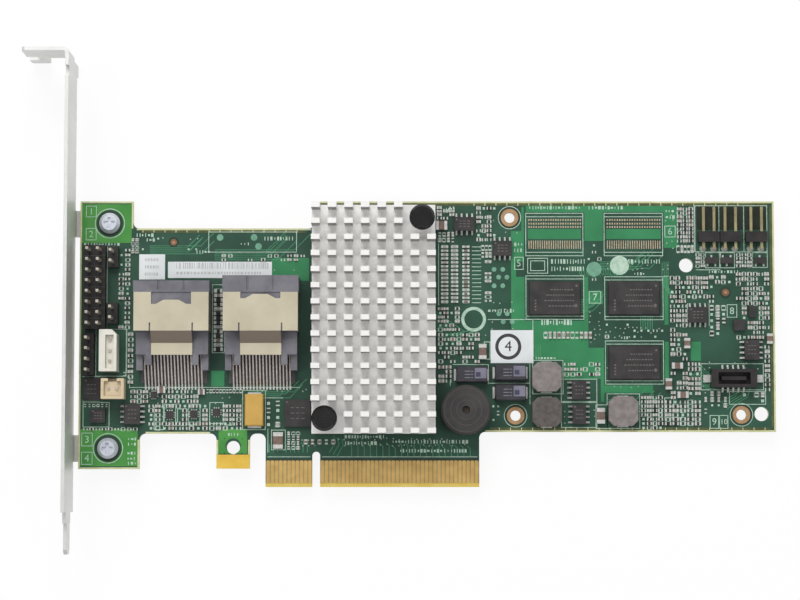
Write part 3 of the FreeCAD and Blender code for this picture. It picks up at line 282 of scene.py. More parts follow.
def ring(shape, x, y, base, inner, outer, height, sides):
    """A flat ring about (x, y), turned from a rectangle, in millimetres."""
    corners = [(inner, base), (outer, base), (outer, base + height), (inner, base + height)]
    verts = [shape.verts.new(((x + r) * mm, y * mm, z * mm)) for r, z in corners]
    loop = [shape.edges.new((verts[i], verts[(i + 1) % 4])) for i in range(4)]
    bmesh.ops.spin(shape, geom=verts + loop, cent=(x * mm, y * mm, 0), axis=(0, 0, 1),
                   angle=math.tau, steps=sides, use_merge=True, use_duplicate=False)


def holed_plate(shape, x, y, base, radius, half_width, half_depth, height):
    """A plate about (x, y) with a round hole in it, in millimetres: a ring with a squared rim."""
    before = set(shape.verts)
    ring(shape, x, y, base, radius, radius * 2, height, 32)
    for vert in set(shape.verts) - before:
        away = (vert.co.x / mm - x, vert.co.y / mm - y)
        if math.hypot(*away) > radius * 1.5:
            reach = max(abs(away[0]) / half_width, abs(away[1]) / half_depth)
            vert.co.x = (x + away[0] / reach) * mm
            vert.co.y = (y + away[1] / reach) * mm


def piece(name, shape, paint, bevel=0.0):
    """Ends a piece: its mesh gets an object, a material and its place in the assembly."""
    bmesh.ops.recalc_face_normals(shape, faces=shape.faces)
    if bevel:
        bmesh.ops.bevel(shape, geom=shape.edges[:], offset=bevel * mm, affect="EDGES", segments=1,
                        profile=0.5, material=-1)
    mesh = bpy.data.meshes.new(name)
    shape.to_mesh(mesh)
    shape.free()
    made = bpy.data.objects.new(name, mesh)
    bpy.context.scene.collection.objects.link(made)
    mesh.materials.append(paint)
    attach(made, "root")


def copper_sheets(areas):
    """Thin sheets of copper over boxes of the photograph."""
    shape = bmesh.new()
    for left_px, top_px, right_px, bottom_px in areas:
        left, high = on_board(left_px, top_px)
        right, low = on_board(right_px, bottom_px)
        slab(shape, (left + right) / 2, (low + high) / 2, board_top, right - left, high - low, copper_rise)
    return shape


piece("copper_areas", copper_sheets(COPPER_AREAS), pour_paint)
leaves = copper_sheets(LEAF_AREAS)
holed_plate(leaves, *hook_hole, board_top, hook_hole_radius, hook_half_width, hook_half_depth, copper_rise)
piece("corner_copper", leaves, leaf_paint)

# Copper tracks: thin lines etched from the same foil, under the mask. They run side by side
# in bundles that bend once, and stay clear of the holes and of the card's edge.
chance = random.Random(7)
track_width = 0.13
straight_shares = (0.5, 0.9)
bend_share = 0.3
# Crossing lines of one print differ a little in height: the first, the step and the count.
layer_first = 0.0015
layer_step = 0.003
layer_count = 5
hole_room = 0.4
edge_room = 0.5
plated_places = [(47.90, 17.10), (102.20, 17.30), (46.60, 64.95)]
screw_places = [(-50.0, 63.55), (-50.0, 9.25)]
# Round places that other things keep clear of: centre and radius in millimetres.
round_places = [(x, y, 3.2) for x, y in plated_places] + [(x, y, 3.7) for x, y in screw_places]
round_places += [(89.2, 53.4, 2.1), (107.05, 17.5, 2.1), (-34.57, 59.01, 1.9), (98.65, 46.81, 1.8)]
# Each stretch of the card's length, and the card's lower and upper edge there, in millimetres.
CARD_STRETCHES = [
    (-57.15, -44.37, 4.28, 68.90), (-44.37, -42.49, 4.28, 62.34), (-42.49, -23.96, 12.80, 62.34),
    (-23.96, -15.94, 4.28, 62.34), (-15.94, -12.15, 14.00, 62.34), (-12.15, -0.95, 6.60, 62.34),
    (-0.95, 39.15, 6.60, 68.90), (39.15, 110.50, 13.20, 68.90),
]
# Start in pixels, way in degrees, length and pitch in pixels, and count of each bundle.
TRACK_BUNDLES = [
    (560, 300, 0, 46, 1.6, 9), (600, 262, 0, 60, 1.6, 6), (605, 400, 0, 50, 1.7, 10),
    (640, 330, 90, 40, 1.7, 8), (330, 452, 60, 22, 4.2, 30), (352, 456, 90, 14, 6.2, 20),
    (270, 452, 90, 9, 4.2, 10), (150, 246, 0, 60, 2.0, 5), (215, 250, 0, 90, 2.0, 6),
    (250, 392, 0, 60, 2.0, 4), (700, 366, -45, 26, 2.0, 8), (436, 312, -35, 40, 2.2, 8),
    (620, 268, -90, 10, 2.4, 18), (540, 345, -90, 16, 2.2, 14), (720, 402, 30, 30, 2.2, 5),
    (668, 262, -90, 40, 2.0, 4),
]


def on_card(x, y):
    """True where the card lies under that place, in millimetres."""
    return any(x0 <= x <= x1 and y0 + edge_room <= y <= y1 - edge_room for x0, x1, y0, y1 in CARD_STRETCHES)


def near_hole(spot):
    """True where a hole or a screw head is close to that place."""
    return any((Vector(hole[:2]) - spot).length < hole[2] + hole_room for hole in round_places)


def track(shape, points, width, base, height):
    """A line of copper or ink through points given in millimetres. No two meet at one height."""
    for (x0, y0), (x1, y1) in zip(points, points[1:]):
        slabs_before = len(shape.faces) // 6
        height += layer_first + slabs_before % layer_count * layer_step
        reach = math.hypot(x1 - x0, y1 - y0) + width
        turn = math.atan2(y1 - y0, x1 - x0)
        slab(shape, (x0 + x1) / 2, (y0 + y1) / 2, base, reach, width, height, turn)


track_paint = finish("masked_track", (0.06, 0.26, 0.13), (0.09, 0.33, 0.17), 0.35, patches=400.0,
                     grain=1500.0, spread=0.1)
shape = bmesh.new()
for px, py, angle, length, pitch, count in TRACK_BUNDLES:
    ahead = Vector((math.cos(math.radians(angle)), math.sin(math.radians(angle))))
    aside = Vector((-ahead.y, ahead.x))
    for line in range(count):
        start = Vector(on_board(px, py)) - aside * (line * pitch / photo_scale)
        straight = start + ahead * (length / photo_scale * chance.uniform(*straight_shares))
        corner = straight + (ahead + aside).normalized() * (length / photo_scale * bend_share)
        spots = (start, straight, corner)
        if all(on_card(*spot) for spot in spots) and not any(near_hole(spot) for spot in spots):
            track(shape, spots, track_width, board_top, copper_rise)
piece("copper_tracks", shape, track_paint)

# Bare edge of the board: the routed rim has no mask, so a thin pale line of laminate
# follows the outline, with an olive band inside it along the top, the right and part of the
# lower edge. Small copper ticks break it where the boards were joined.
rim_width = 0.42
rim_height = 0.012
band_width = 0.65
band_rise = copper_rise + 0.004
band_trim = 2.2
tick_pitch = 2.66
tick_width = 0.18
tick_rise = copper_rise + 0.03
# Each run of the outline: its start and end in millimetres, and the way in from the edge.
RIM_RUNS = [
    (-57.15, 4.28, -57.15, 68.90, 1, 0), (-56.70, 68.90, -44.82, 68.90, 0, -1),
    (-44.37, 62.34, -44.37, 68.90, -1, 0), (-43.50, 62.34, -1.40, 62.34, 0, -1),
    (-0.50, 63.20, -0.50, 68.90, 1, 0), (-0.05, 68.90, 110.05, 68.90, 0, -1),
    (110.50, 13.20, 110.50, 68.90, -1, 0), (40.60, 13.20, 110.05, 13.20, 0, 1),
    (-56.70, 4.28, -42.94, 4.28, 0, 1), (-42.49, 4.28, -42.49, 11.30, -1, 0),
    (-41.00, 12.80, -25.50, 12.80, 0, 1), (-23.96, 7.80, -23.96, 11.30, 1, 0),
    (-15.94, 7.80, -15.94, 11.30, -1, 0),
]
banded_runs = RIM_RUNS[3:8]
# Rows of ticks: first place, count and length, in millimetres.
TICK_ROWS = [(-42.0, 61.75, 15, 0.8), (44.0, 13.9, 25, 0.7), (38.0, 68.2, 25, 0.7)]


def along_rim(runs, inset, width, trim, height):
    """Strips along runs of the outline, inset from the edge and cut short by trim."""
    shape = bmesh.new()
    shift = inset + width / 2
    for x0, y0, x1, y1, inward_x, inward_y in runs:
        slab(shape, (x0 + x1) / 2 + inward_x * shift, (y0 + y1) / 2 + inward_y * shift, board_top,
             max(x1 - x0 - trim, width), max(y1 - y0 - trim, width), height)
    return shape


rim_paint = finish("bare_laminate", (0.50, 0.52, 0.26), (0.62, 0.62, 0.38), 0.55, patches=500.0, bump=0.3)
olive_paint = finish("rim_mask", (0.060, 0.075, 0.028), (0.095, 0.115, 0.045), 0.45, patches=500.0)
piece("bare_rim", along_rim(RIM_RUNS, 0, rim_width, 0, rim_height), rim_paint)
band = along_rim(banded_runs, rim_width, band_width, band_trim, band_rise)
piece("rim_band", band, olive_paint)
shape = bmesh.new()
for first_x, y, count, reach in TICK_ROWS:
    for column in range(count):
        slab(shape, first_x + column * tick_pitch, y, board_top, tick_width, reach, tick_rise)
piece("rim_ticks", shape, rim_paint)

# Plated holes: drilled through the board and lined with copper, each with a bare copper
# collar and a dark moat in the mask round it. The screw holes have the same, and two bare
# copper spots stand in moats of their own.
collar_rise = 0.04
moat_rise = copper_rise + 0.01
spot_rise = copper_rise + 0.03
eye_rise = copper_rise + 0.05
round_sides = 40
# Radius of a spot's bright middle and of its moat, as shares of the spot's own.
eye_share = 0.4
moat_share = 1.7
# Inner and outer radius of the collar and of the moat, in millimetres.
HOLE_KINDS = [
    (plated_places, (1.27, 2.12), (2.12, 2.62)), (screw_places, (1.62, 1.95), (1.8, 3.25)),
]
# Place in pixels and radius in millimetres.
COPPER_SPOTS = [(173.6, 242.2, 0.75), (725.1, 292.7, 0.85)]


def disc(shape, x, y, base, radius, height, sides, top=None):
    """A round plate or a cone about (x, y) that stands on the height base, in millimetres."""
    place = Matrix.Translation((x * mm, y * mm, (base + height / 2) * mm))
    end = radius if top is None else top
    bmesh.ops.create_cone(shape, cap_ends=True, segments=sides, radius1=radius * mm,
                          radius2=end * mm, depth=height * mm, matrix=place)


copper_paint = finish("collar_copper", (0.38, 0.22, 0.11), (0.48, 0.30, 0.16), 0.42, metal=0.45,
                      patches=900.0)
dull_copper_paint = finish("dull_copper", (0.200, 0.100, 0.055), (0.270, 0.140, 0.080), 0.42, metal=0.3,
                           patches=900.0)
# Dark green of the mask in the moats, used as well for painted shade above the edge contacts.
mask_and_shade_paint = finish("deep_mask_and_shade", (0.016, 0.036, 0.024), (0.024, 0.052, 0.034), 0.4, patches=400.0)
collars = bmesh.new()
moats = bmesh.new()
spots = bmesh.new()
for places, collar, moat in HOLE_KINDS:
    for x, y in places:
        ring(collars, x, y, board_top, *collar, collar_rise, round_sides)
        ring(moats, x, y, board_top, *moat, moat_rise, round_sides)
for px, py, radius in COPPER_SPOTS:
    x, y = on_board(px, py)
    disc(collars, x, y, board_top, radius * eye_share, eye_rise, 16)
    disc(spots, x, y, board_top, radius, spot_rise, 20)
    disc(moats, x, y, board_top, radius * moat_share, moat_rise, 24)
piece("hole_collars", collars, copper_paint)
piece("copper_spots", spots, dull_copper_paint)
piece("mask_moats", moats, mask_and_shade_paint)

# Test pads: round lands of copper under a thin mask, which probes touch when the finished
# card is tested. One large one and three of middle size stand by themselves.
land_rise = copper_rise + 0.02
# Radius in millimetres, sides, clear reach in pixels, and places in pixels.
TEST_PADS = [
    (0.58, 16, 2.6, [(494, 269.6), (502.7, 269.6), (498.6, 277.4), (506.8, 277.4), (494, 286), (502.7, 286),
                     (498.6, 314), (507, 314), (503, 322), (512, 322), (507, 338)]),
    (1.8, 28, 8.0, [(594, 269.4)]),
    (0.8, 20, 3.6, [(220.0, 237.5), (254.0, 237.5), (258.5, 246.5)]),
]
sage_paint = finish("masked_pad", (0.13, 0.30, 0.20), (0.18, 0.38, 0.27), 0.4, patches=600.0)
shape = bmesh.new()
for radius, sides, clear_px, places in TEST_PADS:
    for px, py in places:
        disc(shape, *on_board(px, py), board_top, radius, land_rise, sides)
piece("test_pads", shape, sage_paint)

# Edge contacts: gold-plated copper fingers on both faces of the card edge, with laminate
# between them and bevelled tips. Above them come a band of painted shade, where their leads go
# up under the mask, and a printed line. The hook has a plain gold strip.
contact_runs = [(-12.15, -0.95), (0.95, 39.15)]
shadow_row = 6.57
shadow_depth = 0.75
shadow_height = 0.02
shadow_trim = 0.1
gap_height = 0.012
run_trim = 0.02
silk_row = 7.22
silk_depth = 0.14
silk_height = 0.03
silk_trim = 0.9
bevel_depth = 0.96
bevel_thick = 0.06
bevel_drop = 0.21
bevel_turn = math.radians(26.5)
finger_low, finger_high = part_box("edge_contacts")
finger_paint = finish("finger_gold", (0.54, 0.34, 0.105), (0.64, 0.425, 0.14), 0.36, metal=0.3,
                      patches=500.0)
strip_paint = finish("strip_gold", (0.78, 0.50, 0.07), (0.86, 0.59, 0.11), 0.34, metal=0.35, patches=300.0)
gap_paint = finish("contact_gaps", (0.30, 0.220, 0.095), (0.38, 0.285, 0.130), 0.5, patches=500.0)
ink_paint = finish("silk_ink", (0.34, 0.50, 0.39), (0.50, 0.64, 0.53), 0.6, patches=900.0, bump=0.2)
bevel_paint = finish("bevel_gold", (0.80, 0.58, 0.11), (0.86, 0.66, 0.17), 0.45, metal=0.15, patches=400.0)
dress(finger_paint, "edge_contacts")
dress(strip_paint, "retention_pad")
shadows = bmesh.new()
gaps = bmesh.new()
ink = bmesh.new()
bevels = bmesh.new()
for start, stop in contact_runs:
    x, width = (start + stop) / 2, stop - start
    slab(shadows, x, shadow_row, board_top, width - shadow_trim, shadow_depth, shadow_height)
    slab(gaps, x, (finger_low.y + finger_high.y) / 2 / mm, board_top, width - run_trim,
         (finger_high.y - finger_low.y) / mm, gap_height)
    slab(ink, x, silk_row, board_top, width - silk_trim, silk_depth, silk_height)
    tips = slab(bevels, x, finger_low.y / mm / 2, board_top - bevel_drop - bevel_thick / 2,
                width - run_trim, bevel_depth, bevel_thick)
    hinge = (x * mm, finger_low.y / 2, (board_top - bevel_drop) * mm)
    bmesh.ops.rotate(bevels, verts=tips, cent=hinge, matrix=Matrix.Rotation(bevel_turn, 3, "X"))
# The band above the contacts is painted shade.
piece("contact_shadow_band", shadows, mask_and_shade_paint)
piece("contact_gaps", gaps, gap_paint)
piece("contact_silk_line", ink, ink_paint)
piece("contact_bevels", bevels, bevel_paint)

# Bracket: one folded sheet of nickel-plated steel, which holds the card in its slot. Two
# screws of bright zinc-plated steel fix it to the board, and each recess has a flat floor.
recess_depth = 0.95
recess_floor_radius = 1.4
recess_floor_height = 0.55
steel_paint = finish("bracket_steel", (0.65, 0.65, 0.63), (0.71, 0.71, 0.69), 0.42, metal=0.55, patches=60.0,
                     grain=900.0, spread=0.25, bump=0.1)
zinc_paint = finish("screw_zinc", (0.50, 0.53, 0.60), (0.66, 0.69, 0.76), 0.40, metal=0.25, patches=350.0,
                    grain=900.0, spread=0.2, bump=0.1)
dress(steel_paint, "mounting_bracket")
dress(zinc_paint, "bracket_screws")
screw_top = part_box("bracket_screws")[1].z / mm
shape = bmesh.new()
for x, y in screw_places:
    disc(shape, x, y, screw_top - recess_depth, recess_floor_radius, recess_floor_height, 24)
piece("recess_floors", shape, zinc_paint)

# Controller chip and its pad: a moulded package, soldered under the heatsink, and a soft
# sheet of grey silicone that is pressed between the two and carries the heat.
package_paint = finish("package_epoxy", (0.030, 0.028, 0.030), (0.048, 0.045, 0.046), 0.55, patches=500.0,
                       grain=6000.0, bump=0.3)
silicone_paint = finish("pad_silicone", (0.26, 0.30, 0.36), (0.32, 0.36, 0.42), 0.7, patches=200.0)
dress(package_paint, "raid_processor")
dress(silicone_paint, "thermal_pad")

# Heatsink: extruded aluminium, cut across into square fins, with a fine saw grain. The sides
# of the fins that face the card edge carry painted shade, the more so towards their tops.
shade_foot = 5.0
shade_head = 8.0
shade_most = 0.95
front_level = -0.5
sink_paint = finish("sink_aluminium", (0.80, 0.79, 0.77), (0.84, 0.83, 0.81), 0.48, metal=0.05,
                    patches=140.0, grain=2500.0, spread=0.25)
# Painted shade: a dark grey laid over the aluminium on faces that look towards the card edge, deepening from
# the foot to the head of the fins.
tree = sink_paint.node_tree
facing = add_node(tree, "ShaderNodeNewGeometry").outputs["Normal"]
toward = part_of_vector(tree, facing, "Y")
front = add_node(tree, "ShaderNodeMath", {0: toward, 1: front_level}, operation="LESS_THAN")
place = add_node(tree, "ShaderNodeTexCoord").outputs["Object"]
climb = add_node(tree, "ShaderNodeMapRange", {
    "Value": part_of_vector(tree, place, "Z"), "From Min": shade_foot * mm, "From Max": shade_head * mm,
    "To Max": shade_most})
painted_shade_share = add_node(tree, "ShaderNodeMath", {0: front.outputs[0], 1: climb.outputs[0]}, operation="MULTIPLY")
shade_over(sink_paint, painted_shade_share.outputs[0], (0.27, 0.26, 0.26))
dress(sink_paint, "heatsink")

# Push pins: moulded black nylon with a glossy domed cap. Their stems go through the heatsink
# and the board, and hold the one down on the other.
nylon_paint = finish("push_pin_nylon", (0.008, 0.008, 0.009), (0.016, 0.015, 0.016), 0.28, patches=300.0,
                     spread=0.15, bump=0.1)
dress(nylon_paint, "push_pins")

# Cable ports: a moulded grey housing under a folded hood of warm nickel-plated sheet. Behind
# it a row of tinned leads is bent down over a dark ground and soldered to the board. The dark
# ground is partly the housing's dark back and partly painted shade under the leads.
pad_height = 0.06
pad_depth = 1.3
pad_shift = 0.15
pad_over = 0.08
ground_depth = 8.0
ground_height = 0.045
ground_over = 1.0
ground_shift = 0.75
housing_paint = finish("port_housing", (0.125, 0.122, 0.142), (0.180, 0.176, 0.196), 0.52, patches=250.0,
                       grain=3500.0, bump=0.25)
hood_paint = finish("port_hood", (0.50, 0.455, 0.335), (0.58, 0.53, 0.40), 0.42, metal=0.3, patches=120.0,
                    grain=1800.0, spread=0.2, bump=0.1)
# Painted shade: the hood's sloping and upright faces are coloured a dark brown, as they lie in shade.
facing_side(hood_paint, (0.25, 0.205, 0.165), 0.97)
lead_paint = finish("port_leads", (0.58, 0.51, 0.48), (0.74, 0.67, 0.63), 0.40, metal=0.3, patches=1500.0)
tin_paint = finish("solder_tin", (0.56, 0.56, 0.54), (0.70, 0.70, 0.67), 0.38, metal=0.55, patches=1500.0,
                   bump=0.3)
ground_and_shade_paint = finish("port_ground_and_shade", (0.090, 0.082, 0.086), (0.125, 0.115, 0.120), 0.5, patches=300.0)


def solids_of(node):
    """The lowest and highest corner, in millimetres, of each solid of a CAD node."""
    shape = bmesh.new()
    shape.from_mesh(nodes[node].data)
    bmesh.ops.remove_doubles(shape, verts=shape.verts, dist=1e-7)
    left = set(shape.verts)
    found = []
    while left:
        reach = [left.pop()]
        corners = []
        while reach:
            vert = reach.pop()
            corners.append(vert.co / mm)
            for edge in vert.link_edges:
                other = edge.other_vert(vert)
                if other in left:
                    left.remove(other)
                    reach.append(other)
        low = Vector([min(c[i] for c in corners) for i in range(3)])
        high = Vector([max(c[i] for c in corners) for i in range(3)])
        found.append((low, high))
    shape.free()
    return sorted(found, key=lambda pair: (round(pair[0].x, 2), round(pair[0].y, 2), pair[0].z))


pads = bmesh.new()
grounds = bmesh.new()
for port in (1, 2):
    dress(housing_paint, "sas_housing_%d" % port)
    dress(hood_paint, "sas_shell_%d" % port)
    dress(lead_paint, "sas_contacts_%d" % port)
    leads = solids_of("sas_contacts_%d" % port)
    for low, high in leads:
        slab(pads, (low.x + high.x) / 2, low.y - pad_shift, board_top, high.x - low.x + pad_over, pad_depth,
             pad_height)
    # The dark ground behind the leads: partly the housing's dark back, partly painted shade under the leads.
    left = min(low.x for low, high in leads) - ground_over
    right = max(high.x for low, high in leads) + ground_over
    rear = min(low.y for low, high in leads) + ground_shift
    slab(grounds, (left + right) / 2, rear + ground_depth / 2, board_top, right - left, ground_depth,
         ground_height)
piece("port_pads", pads, tin_paint)
piece("port_grounds_and_shade", grounds, ground_and_shade_paint)

# Pin headers: black moulded insulators with square plated pins pressed through them. Shallow
# seams part the places of the long one. Under the angled ones lies a dark sheet of painted shadow.
seam_width = 0.12
seam_height = 0.03
header_places = 8
# Left and right side of each painted shadow, and their middle row, in pixels.
HEADER_SHADOWS = [(697.0, 718.4), (720.2, 743.0), (745.0, 766.4)]
shadow_row_px = 218.0
shadow_reach = 5.6
shadow_rise = 0.012
header_paint = finish("header_polymer", (0.016, 0.014, 0.014), (0.028, 0.024, 0.024), 0.5, patches=400.0,
                      grain=5000.0, bump=0.3)
pin_paint = finish("header_pin", (0.44, 0.40, 0.33), (0.56, 0.52, 0.44), 0.36, metal=0.4, patches=900.0)
olive_pin_paint = finish("angled_pin", (0.26, 0.23, 0.12), (0.40, 0.36, 0.20), 0.36, metal=0.4,
                         patches=300.0)
seam_paint = finish("header_seam", (0.060, 0.056, 0.056), (0.080, 0.075, 0.075), 0.5, patches=900.0)
header_shadow_paint = finish("header_painted_shadow", (0.010, 0.014, 0.008), (0.020, 0.026, 0.015), 0.5, patches=300.0)
dress(header_paint, "jumper_header_body", "small_header_bodies", "activity_header_bodies")
dress(pin_paint, "jumper_header_pins", "small_header_pins")
dress(olive_pin_paint, "activity_header_pins")


def box_of(node):
    """The lowest and highest corner of a CAD node, in millimetres."""
    return [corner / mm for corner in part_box(node)]


def plan_of(low, high):
    """Centre, width and depth, seen from above, of what lies between two corners."""
    return (low.x + high.x) / 2, (low.y + high.y) / 2, high.x - low.x, high.y - low.y


low, high = box_of("jumper_header_body")
x, y, wide, deep = plan_of(low, high)
shape = bmesh.new()
for row in range(1, header_places):
    slab(shape, x, low.y + deep * row / header_places, high.z, wide, seam_width, seam_height)
piece("jumper_header_seams", shape, seam_paint)
# Painted shadow: dark sheets on the board under the angled pins.
shape = bmesh.new()
for left_px, right_px in HEADER_SHADOWS:
    x, y = on_board((left_px + right_px) / 2, shadow_row_px)
    slab(shape, x, y, board_top, (right_px - left_px) / photo_scale, shadow_reach, shadow_rise)
piece("header_painted_shadows", shape, header_shadow_paint)

# Solder: a small cone of tin round every pin that goes through the board. The straight pins
# have it on the solder side, and the angled ones on both faces.
cone_radius = 0.85
tip_radius = 0.42
cone_drop = 0.55
cone_height = 0.56
cone_sides = 12
upper_cone_height = 0.45
upper_tip_radius = 0.5
angled_shift = 0.32
shape = bmesh.new()
for node in ("jumper_header_pins", "small_header_pins", "fan_connector_pins", "battery_sense_pins"):
    for low, high in solids_of(node):
        disc(shape, (low.x + high.x) / 2, (low.y + high.y) / 2, -board_top - cone_drop, tip_radius,
             cone_height, cone_sides, top=cone_radius)
for low, high in solids_of("activity_header_pins"):
    x, y = (low.x + high.x) / 2, low.y + angled_shift
    disc(shape, x, y, -board_top - cone_drop, tip_radius, cone_height, cone_sides, top=cone_radius)
    disc(shape, x, y, board_top, cone_radius, upper_cone_height, cone_sides, top=upper_tip_radius)
piece("pin_solder", shape, tin_paint)

# Cable sockets: open boxes moulded round plated pins, of natural nylon for three wires and
# of beige nylon for two, with deep floors. The black one for the battery's cable has a row of
# small tinned leads.
floor_bevel = 0.05
white_paint = finish("natural_nylon", (0.70, 0.68, 0.60), (0.78, 0.76, 0.69), 0.42, patches=200.0, bump=0.1)
beige_paint = finish("beige_nylon", (0.60, 0.49, 0.33), (0.70, 0.59, 0.42), 0.45, patches=200.0, bump=0.1)
dress(white_paint, "fan_connector")
dress(beige_paint, "battery_sense_socket")
dress(pin_paint, "fan_connector_pins", "battery_sense_pins")
dress(header_paint, "battery_connector")
dress(tin_paint, "battery_connector_leads")
# Centre, base, width, depth and height of each floor, in millimetres.
for name, paint, slot, block in (
        ("socket_floors", white_paint, "connector_white", (-49.22, 32.25, 2.25, 1.9, 7.9, 3.1)),
        ("sense_socket_floor", beige_paint, "socket_beige", (-48.6, 23.45, 2.05, 4.0, 3.4, 2.3))):
    shape = bmesh.new()
    slab(shape, *block)
    piece(name, shape, paint, bevel=floor_bevel)

# Sounder: a moulded black can with a sound hole and faint turned rings on its top. A paler
# diaphragm shows at the bottom of the hole.
hole_depth = 1.95
diaphragm_radius = 0.75
diaphragm_height = 0.3
groove_radii = (2.2, 3.6, 5.2)
groove_width = 0.16
groove_height = 0.012
groove_sink = 0.005
can_paint = finish("sounder_case", (0.028, 0.026, 0.026), (0.048, 0.044, 0.042), 0.55, patches=180.0,
                   grain=3000.0, bump=0.35)
spot_paint = finish("sounder_spot", (0.16, 0.12, 0.10), (0.24, 0.19, 0.16), 0.5, patches=700.0)
groove_paint = finish("sounder_rings", (0.050, 0.046, 0.044), (0.075, 0.068, 0.064), 0.5, patches=250.0)
dress(can_paint, "sounder")
low, high = box_of("sounder")
x, y = plan_of(low, high)[:2]
shape = bmesh.new()
disc(shape, x, y, high.z - hole_depth, diaphragm_radius, diaphragm_height, 20)
piece("sounder_diaphragm", shape, spot_paint)
shape = bmesh.new()
for radius in groove_radii:
    ring(shape, x, y, high.z - groove_sink, radius, radius + groove_width, groove_height, 48)
piece("sounder_rings", shape, groove_paint)

# Chokes: blocks of pressed ferrite and of moulded composite over a coil. A tinned foot on
# two sides of each is soldered to the board.
foot_width = 2.6
foot_depth = 0.26
foot_height = 0.9
foot_shift = 0.12
ferrite_paint = finish("pressed_ferrite", (0.175, 0.155, 0.150), (0.245, 0.218, 0.208), 0.62, patches=700.0,
                       grain=2600.0, bump=0.5, depth=0.04)
composite_paint = finish("moulded_composite", (0.075, 0.066, 0.060), (0.115, 0.102, 0.094), 0.6,
                         patches=700.0, grain=2600.0, bump=0.5, depth=0.04)
dress(ferrite_paint, "ferrite_chokes")
dress(composite_paint, "moulded_choke")
shape = bmesh.new()
for low, high in solids_of("ferrite_chokes") + solids_of("moulded_choke"):
    x, y, wide, deep = plan_of(low, high)
    for side in (-1, 1):
        slab(shape, x, y + side * (deep / 2 + foot_shift), board_top, foot_width, foot_depth, foot_height)
piece("choke_feet", shape, tin_paint)

# Capacitors: dark moulded blocks with a paler polarity band and folded tin ends, one amber
# moulded block, and small brown ceramic blocks with tinned ends.
end_height = 1.5
end_shift = 0.08
lip_reach = 0.5
lip_height = 0.12
lip_shift = 0.25
cap_share = 0.24
cap_over = 0.06
cap_lift = 0.03
end_bevel = 0.02
mark_sink = 0.01
mark_height = 0.03
mark_depth = 0.18
square_lift = 0.015
square_height = 0.02
# Shares of a block's width and depth: shift and size of the band and of the square, pitch of
# the rows of marks, shift and length of each mark, and width of the ends and their lips.
band_shift = (0.21, 0.08)
band_size = (0.38, 0.66)
square_shift = 0.29
square_size = 0.30
mark_pitch = 0.2
mark_shifts = ((-0.14, 0.18), (0.01, 0.08))
end_share = 0.62
lip_share = 0.74
amber_end_share = 0.6
amber_lip_share = 0.75
case_paint = finish("capacitor_case", (0.030, 0.028, 0.034), (0.046, 0.043, 0.052), 0.5, patches=400.0,
                    grain=4000.0, bump=0.25)
band_paint = finish("capacitor_band", (0.155, 0.150, 0.200), (0.200, 0.195, 0.250), 0.5, patches=300.0)
mark_paint = finish("capacitor_mark", (0.17, 0.17, 0.21), (0.22, 0.22, 0.27), 0.55, patches=600.0)
square_paint = finish("capacitor_square", (0.040, 0.040, 0.075), (0.060, 0.060, 0.105), 0.5, patches=400.0)
amber_paint = finish("amber_case", (0.50, 0.30, 0.060), (0.60, 0.37, 0.095), 0.45, patches=150.0,
                     grain=2500.0, bump=0.2)
ceramic_paint = finish("fired_ceramic", (0.150, 0.100, 0.080), (0.205, 0.145, 0.120), 0.45, patches=900.0)
dress(case_paint, "bulk_capacitors")
dress(amber_paint, "amber_capacitor")
dress(ceramic_paint, "ceramic_capacitors")
bands = bmesh.new()
squares = bmesh.new()
marks = bmesh.new()
ends = bmesh.new()
for low, high in solids_of("bulk_capacitors"):
    x, y, wide, deep = plan_of(low, high)
    print_base = high.z - mark_sink
    slab(bands, high.x - wide * band_shift[0], y + deep * band_shift[1], print_base,
         wide * band_size[0], deep * band_size[1], mark_height)
    slab(squares, high.x - wide * square_shift, y, high.z + square_lift, deep * square_size,
         deep * square_size, square_height)
    for row in (-1, 0, 1):
        for shift, length in mark_shifts:
            slab(marks, x + wide * shift, y + row * deep * mark_pitch, print_base, wide * length, mark_depth,
                 mark_height)
    for side in (-1, 1):
        slab(ends, x + side * (wide / 2 + end_shift), y, board_top, end_shift * 2, deep * end_share,
             end_height)
        slab(ends, x + side * (wide / 2 + lip_shift), y, board_top, lip_reach, deep * lip_share, lip_height)
x, y, wide, deep = plan_of(*box_of("amber_capacitor"))
for side in (-1, 1):
    slab(ends, x, y + side * (deep / 2 + end_shift), board_top, wide * amber_end_share, end_shift * 2,
         end_height)
    slab(ends, x, y + side * (deep / 2 + lip_shift), board_top, wide * amber_lip_share, lip_reach,
         lip_height)
for low, high in solids_of("ceramic_capacitors"):
    x, y, wide, deep = plan_of(low, high)
    tall = high.z - board_top + cap_lift
    for side in (-1, 1):
        if wide > deep:
            shift = side * wide * (1 - cap_share) / 2
            slab(ends, x + shift, y, board_top, wide * cap_share + cap_over, deep + cap_over, tall)
        else:
            shift = side * deep * (1 - cap_share) / 2
            slab(ends, x, y + shift, board_top, wide + cap_over, deep * cap_share + cap_over, tall)
piece("capacitor_bands", bands, band_paint)
piece("capacitor_squares", squares, square_paint)
piece("capacitor_marks", marks, mark_paint)
piece("capacitor_ends", ends, tin_paint, bevel=end_bevel)

# Chips: moulded black epoxy packages on tinned leads or pads. Their tops carry a pin-one
# dimple and rows of short, worn strokes in grey.
worn_height = 0.02
worn_depth = 0.28
worn_lengths = (0.25, 0.6)
worn_gap = 0.22
dimple_radius = 0.22
dimple_inset = 0.6
memory_dimple_radius = 0.28
memory_dimple_inset = (1.0, 1.1)
memory_round_radius = 0.42
memory_round_inset = (1.2, 2.3)
# First row, pitch and length of the marks on the other chips, as shares of their sides.
grid_first = 0.3
grid_pitch = 0.2
grid_length = 0.13
grid_depth = 0.2
# Drop and pitch of the rows on a memory chip, and start and length of each row, as shares of
# its sides.
worn_drop = 0.25
worn_pitch = 0.16
WORN_ROWS = [(0.42, 0.42), (0.34, 0.5), (0.30, 0.54), (0.38, 0.46)]
